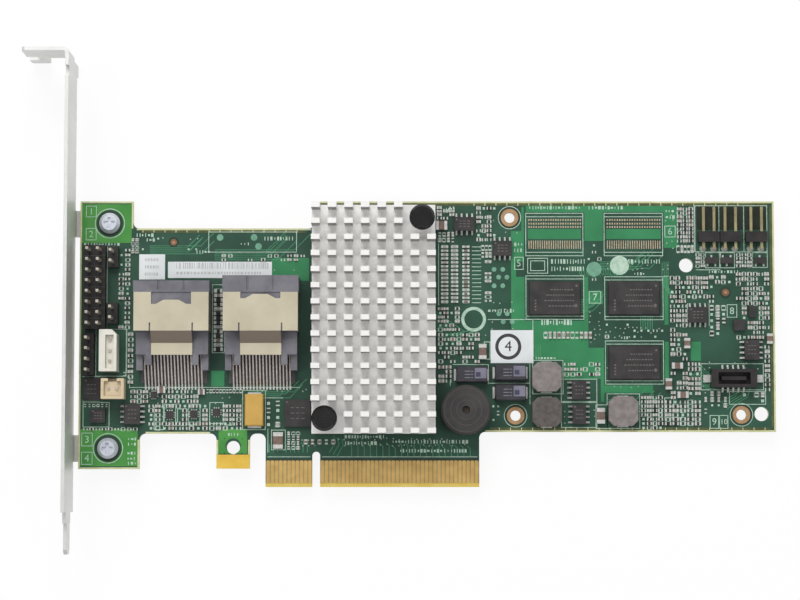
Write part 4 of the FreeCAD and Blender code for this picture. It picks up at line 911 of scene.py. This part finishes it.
# A column of four marks from a memory chip's lower left corner.
edge_mark_place = Vector((1.6, 1.3))
edge_mark_size = (0.45, 0.4)
edge_mark_pitch = 0.75
smallest_marked = 3.0
epoxy_paint = finish("chip_epoxy", (0.026, 0.024, 0.024), (0.042, 0.038, 0.038), 0.52, patches=350.0,
                     grain=6000.0, bump=0.3)
faint_paint = finish("worn_print", (0.105, 0.090, 0.092), (0.150, 0.132, 0.134), 0.5, patches=2500.0)
dress(epoxy_paint, "memory_chips", "outline_chips", "flat_chips", "regulators")
dress(tin_paint, "outline_chip_leads", "regulator_leads")


def stroke_row(shape, start, stop, y, base, tall, height, lengths, gap):
    """A row of printed strokes, each drawn at random between two lengths, with a gap after it."""
    x = start
    while x < stop:
        stroke = chance.uniform(*lengths)
        slab(shape, x + stroke / 2, y, base, stroke, tall, height)
        x += stroke + gap


marks = bmesh.new()
dots = bmesh.new()
for low, high in solids_of("memory_chips"):
    wide, deep = high.x - low.x, high.y - low.y
    base = high.z - mark_sink
    for row, (start, reach) in enumerate(WORN_ROWS):
        left = low.x + wide * start
        stroke_row(marks, left, left + wide * reach, high.y - deep * (worn_drop + row * worn_pitch), base,
                   worn_depth, worn_height, worn_lengths, worn_gap)
    for row in range(4):
        slab(marks, low.x + edge_mark_place.x, low.y + edge_mark_place.y + row * edge_mark_pitch, base,
             *edge_mark_size, worn_height)
    disc(dots, high.x - memory_dimple_inset[0], high.y - memory_dimple_inset[1], base,
         memory_dimple_radius, worn_height, 14)
    disc(dots, high.x - memory_round_inset[0], low.y + memory_round_inset[1], base,
         memory_round_radius, worn_height, 16)
for low, high in solids_of("outline_chips") + solids_of("flat_chips"):
    wide, deep = high.x - low.x, high.y - low.y
    base = high.z - mark_sink
    if min(wide, deep) < smallest_marked:
        continue
    for row in range(3):
        for column in range(3):
            slab(marks, low.x + wide * (grid_first + grid_pitch * column),
                 low.y + deep * (grid_first + grid_pitch * row), base, wide * grid_length, grid_depth,
                 worn_height)
    disc(dots, low.x + dimple_inset, high.y - dimple_inset, base, dimple_radius, worn_height, 12)
piece("chip_marks", marks, faint_paint)
piece("chip_dots", dots, faint_paint)

# Paper labels: coated white paper, glued on, with faint grey print that is drawn as plain
# bars and strokes. The square one carries a ring with a plain figure in it.
print_sink = 0.005
print_height = 0.015
ring_height = 0.02
ring_shift = -0.9
label_ring_radii = (2.36, 3.15)
bar_widths = (0.18, 0.3, 0.5)
bar_gaps = (0.18, 0.3, 0.45)
bar_left = 2.0
bar_right = 0.8
bar_drop = 0.95
bar_tall = 1.5
# Rows of strokes: left and right margin, drop below the label's top, height, least and most
# length, and gap, in millimetres.
SMALL_LABEL_ROWS = [(1.4, 1.6, drop, 0.75, (0.25, 0.55), 0.2) for drop in (1.3, 3.05, 4.8)]
LONG_LABEL_ROWS = [(2.0, 3.0, 2.75, 0.6, (0.3, 0.8), 0.28)]
figure_tall = 2.6
# Size of the type that gives figures one unit tall.
type_size = 1.4
paper_paint = finish("label_paper", (0.66, 0.69, 0.70), (0.74, 0.77, 0.78), 0.6, patches=150.0, grain=5000.0,
                     bump=0.15)
print_paint = finish("label_print", (0.46, 0.46, 0.47), (0.56, 0.56, 0.57), 0.6, patches=2500.0)
black_paint = finish("label_ring", (0.035, 0.033, 0.038), (0.055, 0.052, 0.058), 0.55, patches=900.0)
dress(paper_paint, "paper_labels")


def figures(shape, text, x, y, base, tall, thick):
    """Plain figures of that height about (x, y), as flat prisms that stand on base, in millimetres."""
    drawing = bpy.data.curves.new("figures", "FONT")
    drawing.body = text
    drawing.size = tall * type_size * mm
    drawing.align_x = "CENTER"
    drawing.align_y = "CENTER"
    drawing.extrude = thick / 2 * mm
    drawing.resolution_u = 2
    holder = bpy.data.objects.new("figures", drawing)
    bpy.context.scene.collection.objects.link(holder)
    bpy.context.view_layer.update()
    flat = bpy.data.meshes.new_from_object(holder.evaluated_get(bpy.context.evaluated_depsgraph_get()))
    flat.transform(Matrix.Translation((x * mm, y * mm, (base + thick / 2) * mm)))
    shape.from_mesh(flat)
    bpy.data.objects.remove(holder)
    bpy.data.meshes.remove(flat)
    bpy.data.curves.remove(drawing)


def label_rows(shape, label, rows):
    """Rows of printed strokes on a label."""
    low, high = label
    for left, right, drop, tall, lengths, gap in rows:
        stroke_row(shape, low.x + left, high.x - right, high.y - drop, high.z - print_sink, tall,
                   print_height, lengths, gap)


small_label, long_label, square_label = solids_of("paper_labels")
bars = bmesh.new()
label_rows(bars, small_label, SMALL_LABEL_ROWS)
low, high = long_label
x = low.x + bar_left
while x < high.x - bar_right:
    bar = chance.choice(bar_widths)
    slab(bars, x + bar / 2, high.y - bar_drop, high.z - print_sink, bar, bar_tall, print_height)
    x += bar + chance.choice(bar_gaps)
label_rows(bars, long_label, LONG_LABEL_ROWS)
piece("label_print", bars, print_paint)
low, high = square_label
x, y = plan_of(low, high)[:2]
shape = bmesh.new()
ring(shape, x + ring_shift, y, high.z - print_sink, *label_ring_radii, ring_height, 44)
piece("label_ring", shape, black_paint)
shape = bmesh.new()
figures(shape, "4", x + ring_shift, y, high.z - print_sink, figure_tall, ring_height)
piece("label_figure", shape, black_paint)

# Empty footprints for two more memory chips: rows of small plated pads on bright copper, on
# which no chip is soldered.
foot_base = board_top + copper_rise
foot_rise = 0.012
# Pixel row, count, width and depth in millimetres of each row of pads.
FOOT_ROWS = [
    (219.9, 22, 0.34, 0.42), (223.6, 22, 0.34, 0.42), (227.0, 22, 0.34, 0.42), (244.8, 24, 0.22, 2.0),
]
# Left and right end of each footprint, in pixels.
FOOTPRINTS = [(529.0, 580.5), (607.5, 660.0)]
foot_paint = finish("footprint_pad", (0.42, 0.30, 0.20), (0.60, 0.48, 0.36), 0.42, metal=0.4, patches=1500.0)
shape = bmesh.new()
for left_px, right_px in FOOTPRINTS:
    for row_px, count, wide, deep in FOOT_ROWS:
        for column in range(count):
            x, y = on_board(left_px + (right_px - left_px) * column / (count - 1), row_px)
            slab(shape, x, y, foot_base, wide, deep, foot_rise)
piece("footprint_pads", shape, foot_paint)

# Small ceramic capacitors and resistors, soldered flat in rows by machine. Bodies are grey,
# brown or black, with a tinned cap at each end, and some places hold bare pads only. Four
# small square chips lie among them.
part_height = 0.45
part_gap = 0.10
rim_room = 0.6
bare_height = 0.05
outline_width = 0.10
outline_height = 0.058
outline_shift = 0.11
outlined_share = 0.45
outline_length = 0.9
ink_square = 0.8
body_trim = 0.05
body_drop = 0.02
end_shares = (0.22, 0.34)
chip_height = 0.8
chip_room = 0.8
chip_foot = 0.32
chip_foot_height = 0.1
# Shares of a square chip's side: width and pitch of its feet.
chip_foot_width = 0.16
chip_foot_pitch = 0.3
brown_paint = finish("capacitor_brown", (0.165, 0.120, 0.100), (0.240, 0.185, 0.160), 0.5, patches=1200.0)
grey_paint = finish("capacitor_grey", (0.320, 0.310, 0.292), (0.400, 0.390, 0.368), 0.5, patches=1200.0)
resistor_paint = finish("resistor_black", (0.016, 0.016, 0.018), (0.030, 0.030, 0.033), 0.42, patches=1200.0)
pale_paint = finish("pale_tin", (0.45, 0.47, 0.43), (0.61, 0.63, 0.58), 0.45, metal=0.3, patches=1600.0)
# Nodes that stand on the board, which the small parts keep clear of.
STANDING_NODES = [
    "heatsink", "jumper_header_body", "small_header_bodies", "fan_connector", "battery_sense_socket",
    "activity_header_bodies", "battery_connector", "battery_connector_leads", "sounder", "ferrite_chokes",
    "moulded_choke", "bulk_capacitors", "amber_capacitor", "ceramic_capacitors", "memory_chips",
    "outline_chips", "outline_chip_leads", "flat_chips", "regulators", "regulator_leads", "paper_labels",
    "sas_housing_1", "sas_housing_2", "sas_contacts_1", "sas_contacts_2", "activity_header_pins",
]
# Pixel boxes of the larger prints, which keep clear of parts and vias.
PRINTED_PLACES = [
    (460.4, 306.4, 486.6, 332.6), (609.4, 255.6, 629.4, 275.6), (208.0, 231.0, 297.0, 253.0),
    (514.0, 257.0, 523.7, 270.0), (664.5, 225.5, 676.0, 237.5), (588.5, 291.3, 601.0, 304.0),
    (726.0, 304.5, 736.8, 318.0), (708.0, 415.0, 726.8, 428.8), (85.5, 205.5, 96.5, 240.5),
    (83.0, 432.5, 94.5, 464.5),
]
# Place in pixels and side in millimetres of each square chip.
SQUARE_CHIPS = [(170.8, 415.0, 1.9), (195.0, 414.3, 1.8), (217.4, 412.4, 1.8), (155.0, 395.0, 1.5)]
# Rows of small parts: pixel box, columns, rows, length and depth in millimetres, the way that
# they lie, and the kinds that they are picked from. The kinds are brown (b), grey (g) and black
# (k) bodies, pairs of bare pads (p), a square of ink (i) and a place left empty (.).
PART_FIELDS = [
    (440.8, 245.0, 448.4, 304.0, 1, 15, 1.75, 0.55, True, "g"),
    (450.7, 245.0, 458.4, 304.0, 1, 15, 1.75, 0.55, True, "g"),
    (462.0, 245.0, 469.6, 304.0, 1, 15, 1.75, 0.55, True, "ggb"),
    (483.5, 260.0, 492.5, 303.0, 1, 11, 1.6, 0.50, True, "pgp"),
    (118.5, 248.0, 131.0, 330.0, 2, 17, 1.25, 0.62, True, "pkgkip"),
    (131.0, 238.0, 139.0, 254.0, 2, 4, 0.75, 0.6, False, "pgb"),
    (128.5, 332.0, 134.5, 385.0, 1, 10, 1.3, 0.75, True, "pgk"),
    (213.0, 289.0, 224.6, 352.0, 1, 14, 2.2, 0.80, True, "kkkgb"),
    (200.0, 389.0, 243.0, 393.6, 13, 1, 1.0, 0.5, False, "ppk"),
    (131.0, 389.5, 200.0, 404.0, 11, 3, 1.25, 0.70, True, "kkgpbpi"),
    (149.0, 404.0, 243.0, 430.5, 14, 6, 1.25, 0.72, True, "kkgpbppi"),
    (84.0, 427.4, 140.0, 431.0, 9, 1, 1.1, 0.55, True, "kp"),
    (84.0, 372.0, 128.0, 376.5, 9, 1, 0.95, 0.6, False, "kpp"),
    (86.0, 388.0, 101.0, 402.0, 3, 1, 0.95, 0.5, False, "p"),
    (84.5, 403.2, 110.0, 408.0, 6, 1, 0.75, 0.42, False, "p"),
    (84.5, 425.0, 110.0, 428.0, 6, 1, 0.6, 0.42, False, "p"),
    (139.0, 236.0, 200.0, 252.0, 8, 3, 1.0, 0.55, True, "p..i."),
    (214.0, 254.0, 306.0, 262.0, 14, 2, 1.05, 0.55, True, "pg.k.."),
    (287.0, 431.0, 301.0, 450.0, 3, 4, 0.9, 0.6, False, "pgb"),
    (303.0, 432.0, 337.0, 445.0, 5, 2, 1.2, 0.7, False, "bgp."),
    (430.0, 206.0, 455.0, 220.0, 4, 4, 1.2, 0.62, True, "pgkk."),
    (476.0, 206.0, 497.0, 242.0, 4, 8, 1.1, 0.7, True, "pgkbi."),
    (437.5, 231.5, 455.0, 243.0, 4, 2, 1.1, 0.6, False, "pg"),
    (481.0, 244.5, 492.0, 258.5, 3, 2, 1.4, 0.6, False, "pg"),
    (437.5, 307.0, 460.0, 332.0, 4, 6, 1.2, 0.65, True, "pgkkbi."),
    (437.5, 333.0, 480.0, 364.0, 7, 7, 1.25, 0.70, True, "pgpkkbi.."),
    (437.5, 365.0, 452.0, 388.0, 2, 5, 1.4, 0.8, True, "pgkb."),
    (543.0, 331.5, 592.0, 339.5, 11, 1, 1.7, 0.70, False, "bbgp"),
    (563.0, 362.0, 600.0, 377.0, 6, 3, 1.25, 0.7, True, "pgkkp."),
    (486.0, 403.0, 500.0, 430.0, 3, 4, 1.1, 0.6, False, "ppi."),
    (676.5, 207.0, 694.0, 243.0, 3, 9, 1.15, 0.72, True, "kkgbp"),
    (676.5, 244.0, 694.0, 254.5, 5, 1, 1.9, 0.6, False, "pgg"),
    (695.0, 253.0, 705.0, 268.0, 2, 4, 1.0, 0.6, True, "pg"),
    (735.5, 253.0, 752.0, 268.0, 3, 4, 1.1, 0.62, True, "pgk"),
    (669.0, 276.0, 708.0, 304.0, 7, 6, 1.15, 0.75, True, "kgbpkbki."),
    (669.0, 304.0, 687.0, 400.0, 3, 20, 1.15, 0.75, True, "kgbpkgi."),
    (708.0, 275.0, 732.0, 304.0, 4, 6, 1.15, 0.70, True, "kgpi.."),
    (735.0, 272.0, 769.0, 340.0, 6, 14, 1.15, 0.75, True, "kkgbppi."),
    (708.0, 305.0, 726.0, 337.0, 3, 5, 1.35, 0.8, False, "pgki."),
    (686.0, 362.0, 700.0, 396.0, 2, 7, 1.3, 0.8, True, "gpbki"),
    (639.5, 395.5, 662.0, 430.0, 4, 8, 1.15, 0.72, True, "gpbkki"),
    (663.0, 400.0, 700.0, 430.0, 5, 7, 1.5, 0.75, True, "gpkkppi"),
    (701.0, 391.0, 727.0, 414.0, 4, 4, 1.2, 0.6, False, "p.gi."),
    (762.5, 326.0, 769.5, 392.0, 1, 14, 1.25, 0.75, True, "pgk"),
    (728.0, 392.0, 764.0, 404.0, 6, 2, 1.2, 0.9, False, "p.gi"),
    (264.5, 400.0, 283.0, 428.0, 2, 4, 1.3, 0.9, False, "pgi"),
    (603.0, 322.0, 665.0, 340.0, 9, 3, 1.1, 0.6, True, "....pi"),
    (586.0, 242.0, 602.0, 290.0, 3, 7, 1.0, 0.6, True, "...pi"),
]
taken = []


def take(x, y, width, depth):
    """Keeps a place about (x, y), in millimetres, from the parts that come later."""
    taken.append((x - width / 2, y - depth / 2, x + width / 2, y + depth / 2))


def take_pixels(x0, y0, x1, y1):
    """Keeps a box of the photograph from the parts that come later."""
    taken.append((*on_board(x0, y1), *on_board(x1, y0)))


def is_free(x, y, width, depth):
    """True where a part of that size lies on the card, clear of all parts placed so far."""
    left, low = x - width / 2 - part_gap, y - depth / 2 - part_gap
    right, high = x + width / 2 + part_gap, y + depth / 2 + part_gap
    if left < board_low.x / mm + rim_room or right > board_high.x / mm - rim_room:
        return False
    if not all(on_card(*corner) for corner in ((left, low), (left, high), (right, low), (right, high))):
        return False
    return all(right < x0 or left > x1 or high < y0 or low > y1 for x0, y0, x1, y1 in taken)


for node in STANDING_NODES:
    for low, high in solids_of(node):
        taken.append((low.x, low.y, high.x, high.y))
for x, y, reach in round_places:
    take(x, y, reach * 2, reach * 2)
for radius, sides, clear_px, places in TEST_PADS:
    for px, py in places:
        take_pixels(px - clear_px, py - clear_px, px + clear_px, py + clear_px)
for box in PRINTED_PLACES:
    take_pixels(*box)
bodies = {"b": bmesh.new(), "g": bmesh.new(), "k": bmesh.new()}
caps = bmesh.new()
bare_pads = bmesh.new()
outlines = bmesh.new()
square_chips = bmesh.new()
for px, py, side in SQUARE_CHIPS:
    x, y = on_board(px, py)
    slab(square_chips, x, y, board_top, side, side, chip_height)
    for edge in (-1, 1):
        out = edge * (side + chip_foot) / 2
        for place in (-1, 0, 1):
            along = place * side * chip_foot_pitch
            foot_across = side * chip_foot_width
            slab(caps, x + out, y + along, board_top, chip_foot, foot_across, chip_foot_height)
            slab(caps, x + along, y + out, board_top, foot_across, chip_foot, chip_foot_height)
    take(x, y, side + chip_room, side + chip_room)


def small_part(kind, px, py, long_side, short_side, along_x):
    """One part or pair of pads of that kind at a pixel, where there is room for it."""
    x, y = on_board(px, py)
    if kind == "i":
        if is_free(x, y, short_side, short_side):
            slab(outlines, x, y, board_top, short_side * ink_square, short_side * ink_square,
                 outline_height)
            take(x, y, short_side, short_side)
        return
    width, depth = (long_side, short_side) if along_x else (short_side, long_side)
    if kind == "." or not is_free(x, y, width, depth):
        return
    take(x, y, width, depth)

    def lay(shape, ahead, aside, reach, across, height):
        """A slab that lies the way of the part, shifted ahead and aside of its middle."""
        if along_x:
            slab(shape, x + ahead, y + aside, board_top, reach, across, height)
        else:
            slab(shape, x + aside, y + ahead, board_top, across, reach, height)

    if chance.random() < outlined_share:
        for side in (-1, 1):
            shift = side * (short_side / 2 + outline_shift)
            lay(outlines, 0, shift, long_side * outline_length, outline_width, outline_height)
    end = long_side * chance.uniform(*end_shares)
    for side in (-1, 1):
        shift = side * (long_side - end) / 2
        if kind == "p":
            lay(bare_pads, shift, 0, end, short_side, bare_height)
        else:
            lay(caps, shift, 0, end, short_side, part_height)
    if kind != "p":
        lay(bodies[kind], 0, 0, long_side - 2 * end, short_side - body_trim, part_height - body_drop)


for x0, y0, x1, y1, columns, rows, long_side, short_side, along_x, kinds in PART_FIELDS:
    for column in range(columns):
        for row in range(rows):
            small_part(chance.choice(kinds), x0 + (column + 0.5) * (x1 - x0) / columns,
                       y0 + (row + 0.5) * (y1 - y0) / rows, long_side, short_side, along_x)
piece("capacitors_brown", bodies["b"], brown_paint)
piece("capacitors_grey", bodies["g"], grey_paint)
piece("resistors", bodies["k"], resistor_paint)
piece("part_ends", caps, pale_paint)
piece("bare_pads", bare_pads, pale_paint)
piece("square_chips", square_chips, epoxy_paint)
piece("part_outlines", outlines, ink_paint)

# Vias: tiny plated holes, closed with tin, where signals change side. They are scattered in
# loose rows on the free places.
via_size = 0.34
via_share = 0.55
via_stray = 1
# Pixel box and pitch of each field.
VIA_FIELDS = [
    (588, 306, 603, 347, 4.4), (600, 262, 672, 274, 5.0), (536, 402, 600, 428, 6.0),
    (604, 326, 664, 340, 4.4), (700, 360, 764, 400, 6.0), (150, 236, 204, 246, 5.5),
    (206, 268, 300, 274, 6.0), (250, 388, 310, 396, 5.0), (470, 300, 520, 345, 6.5),
    (300, 436, 470, 452, 6.0), (664, 212, 680, 260, 5.5), (604, 366, 640, 392, 6.0),
    (142, 388, 240, 430, 6.5), (484, 205, 520, 240, 6.0),
]
via_paint = finish("via_tin", (0.26, 0.33, 0.27), (0.42, 0.48, 0.41), 0.42, metal=0.2, patches=900.0)
shape = bmesh.new()
for x0, y0, x1, y1, pitch in VIA_FIELDS:
    columns = int((x1 - x0) / pitch)
    rows = max(1, int((y1 - y0) / pitch))
    for column in range(columns):
        for row in range(rows):
            if chance.random() > via_share:
                continue
            x, y = on_board(x0 + (column + 0.5) * pitch + chance.uniform(-via_stray, via_stray),
                            y0 + (row + 0.5) * pitch + chance.uniform(-via_stray, via_stray))
            if is_free(x, y, via_size, via_size):
                disc(shape, x, y, board_top, via_size / 2, land_rise, 8)
piece("vias", shape, via_paint)

# Silk-screen: pale ink printed on the mask. Frames and lines show where parts sit, and rows
# of short strokes and plain figures lie beside them.
ink_rise = copper_rise + 0.02
line_width = 0.16
ring_place = on_board(473.5, 319.5)
ring_radii = (2.25, 3.0)
disc_place = on_board(619.4, 265.6)
disc_radius = 2.3
screw_ring_radii = (3.45, 3.63)
hole_ring_radii = (2.64, 2.80)
# A column of short level lines, in pixels.
hatch_left = 472.2
hatch_right = 480.8
hatch_top = 247.0
hatch_pitch = 4.0
hatch_count = 15
# Least and most length of a printed stroke, and the gap after it, in pixels.
ink_stroke = (1.2, 2.6)
ink_gap = 1.1
thin_stroke = 0.2
thin_share = 0.5
# Heights of the strokes, as shares of their row's height.
ink_heights = (1.0, 1.0, 0.55)
ink_fill = 0.9
# Pixel boxes of the frames.
SILK_FRAMES = [
    (525.8, 213.2, 583.0, 255.9), (604.2, 213.2, 662.7, 255.9), (525.8, 276.0, 583.5, 319.6),
    (604.5, 277.0, 662.7, 320.0), (604.8, 341.2, 662.7, 384.3), (514.5, 257.4, 523.2, 269.6),
    (665.0, 226.0, 675.4, 237.0), (589.0, 291.8, 600.5, 303.4), (726.6, 305.0, 736.2, 317.5),
    (708.5, 415.5, 717.0, 428.3), (718.0, 415.5, 726.2, 428.3), (86.0, 206.0, 96.0, 216.8),
    (86.0, 228.4, 96.0, 240.0), (83.5, 433.0, 94.0, 445.8), (83.5, 452.0, 94.0, 464.0),
    (695.2, 205.6, 719.2, 252.0), (719.2, 205.6, 744.0, 252.0), (744.0, 205.6, 767.2, 252.0),
    (705.5, 252.8, 719.4, 268.0), (720.4, 252.8, 734.5, 268.0), (752.5, 252.8, 767.2, 267.6),
    (700.0, 364.0, 762.0, 390.0), (96.8, 329.6, 127.0, 376.4), (84.6, 402.6, 110.5, 427.0),
    (208.7, 232.0, 296.5, 252.2), (243.4, 390.6, 266.0, 429.6), (272.2, 430.0, 286.0, 449.6),
    (532.2, 360.6, 562.4, 394.0), (606.2, 394.0, 638.6, 428.4), (595.0, 405.0, 606.2, 428.6),
    (155.4, 407.0, 164.6, 429.6), (165.4, 404.6, 176.8, 425.4), (178.6, 409.0, 187.6, 425.6),
    (189.6, 404.6, 201.0, 425.0), (210.6, 402.6, 224.2, 423.4), (226.0, 405.0, 233.0, 425.0),
    (663.6, 398.0, 672.6, 406.0), (663.6, 406.6, 680.6, 417.8), (560.6, 379.4, 596.0, 401.6),
    (560.6, 402.6, 596.0, 427.4), (484.0, 342.2, 489.8, 359.4), (728.0, 391.6, 764.0, 404.4),
    (527.6, 258.4, 547.6, 273.4), (530.6, 261.0, 544.6, 270.8), (212.8, 285.0, 224.8, 353.0),
]
# Level lines: left end, row and right end, in pixels.
SILK_LINES = [
    (525.8, 216.7, 583.0), (525.8, 252.4, 583.0), (604.2, 216.7, 662.7), (604.2, 252.4, 662.7),
    (525.8, 279.2, 583.5), (525.8, 316.4, 583.5), (604.5, 280.2, 662.7), (604.5, 316.8, 662.7),
    (604.8, 344.4, 662.7), (604.8, 381.0, 662.7), (131.0, 387.6, 300.0), (488.0, 319.8, 533.0),
    (264.4, 398.0, 283.0), (300.0, 229.9, 311.0), (488.0, 383.4, 529.0), (453.0, 364.8, 488.0),
    (84.2, 376.9, 101.2), (84.2, 401.4, 101.2), (663.5, 276.4, 668.0), (696.0, 270.0, 720.0),
]
# Upright lines: column, upper end and lower end, in pixels.
SILK_UPRIGHTS = [
    (107.4, 247.0, 303.0), (127.6, 330.0, 372.0), (529.4, 362.0, 404.0), (488.0, 365.0, 384.0),
    (532.6, 320.0, 330.0), (130.6, 378.0, 388.0), (438.6, 244.0, 305.0), (694.4, 206.0, 252.0),
    (687.0, 304.0, 326.0), (708.6, 304.0, 326.0), (268.6, 429.0, 452.0), (450.0, 380.0, 386.0),
]
# Start, length and height of each row of strokes, in pixels.
STROKE_ROWS = [
    (529, 207.6, 50, 3.8), (588, 207.6, 34, 3.8), (264, 238.6, 30, 4.2), (240, 244.0, 8, 3.0),
    (345, 436.6, 40, 3.6), (345, 443.0, 32, 4.0), (392, 441.6, 74, 4.0), (400, 450.6, 66, 4.0),
    (628, 261.6, 32, 4.6), (136, 235.2, 18, 4.0), (146, 240.0, 8, 3.6), (196, 252.0, 14, 3.6),
    (541, 322.6, 30, 6.0), (488, 311.0, 26, 4.4), (634, 274.0, 10, 3.0), (535, 358.4, 20, 2.0),
    (84, 244.4, 34, 3.0), (620, 338.0, 8, 3.0), (708, 272.0, 30, 3.0), (129, 439.0, 9, 3.2),
    (129, 444.0, 9, 3.2), (129, 453.0, 9, 3.2), (129, 458.4, 9, 3.2), (129, 463.0, 9, 3.2),
    (440, 210.0, 14, 5.0), (229, 434.4, 10, 3.0), (551, 261.6, 34, 5.0), (551, 269.0, 34, 5.0),
    (666, 211.0, 8, 4.0), (666, 217.0, 8, 4.0), (514, 244.5, 9, 4.0), (514, 250.5, 9, 4.0),
]
# Figure, place in pixels and height in millimetres.
SILK_FIGURES = [
    ("1", 91, 211.6, 1.6), ("2", 91, 234.4, 1.6), ("3", 88.8, 439.6, 1.7), ("4", 88.8, 458.2, 1.7),
    ("5", 518.8, 263.6, 1.7), ("6", 670.2, 231.6, 1.7), ("7", 594.8, 297.6, 1.7), ("8", 731.4, 311.4, 1.7),
    ("9", 712.8, 422, 1.7), ("10", 722.2, 422, 1.3),
]
silk = bmesh.new()


def ink_line(x0, y0, x1, y1):
    """A printed line between two pixels of the photograph."""
    track(silk, [on_board(x0, y0), on_board(x1, y1)], line_width, board_top, ink_rise)


half = line_width * photo_scale
for x0, y0, x1, y1 in SILK_FRAMES:
    ink_line(x0, y0, x1, y0)
    ink_line(x0, y1, x1, y1)
    ink_line(x0, y0 + half, x0, y1 - half)
    ink_line(x1, y0 + half, x1, y1 - half)
for x0, y, x1 in SILK_LINES:
    ink_line(x0, y, x1, y)
for x, y0, y1 in SILK_UPRIGHTS:
    ink_line(x, y0, x, y1)
ring(silk, *ring_place, board_top, *ring_radii, ink_rise, 40)
disc(silk, *disc_place, board_top, disc_radius, ink_rise, 32)
for row in range(hatch_count):
    y = hatch_top + row * hatch_pitch
    ink_line(hatch_left, y, hatch_right, y)
for x, y in screw_places:
    ring(silk, x, y, board_top, *screw_ring_radii, ink_rise, 44)
for x, y in plated_places:
    ring(silk, x, y, board_top, *hole_ring_radii, ink_rise, 40)
piece("silk_lines", silk, ink_paint)
shape = bmesh.new()
for px, py, reach, tall in STROKE_ROWS:
    at = px
    while at < px + reach:
        stroke = chance.uniform(*ink_stroke)
        x, y = on_board(at + stroke / 2, py)
        height = tall * chance.choice(ink_heights) / photo_scale
        width = thin_stroke if chance.random() < thin_share else stroke / photo_scale
        slab(shape, x, y, board_top, width, height * ink_fill, ink_rise)
        at += stroke + ink_gap
piece("silk_strokes", shape, ink_paint)
shape = bmesh.new()
for figure, px, py, tall in SILK_FIGURES:
    figures(shape, figure, *on_board(px, py), board_top, tall, ink_rise)
piece("silk_figures", shape, ink_paint)
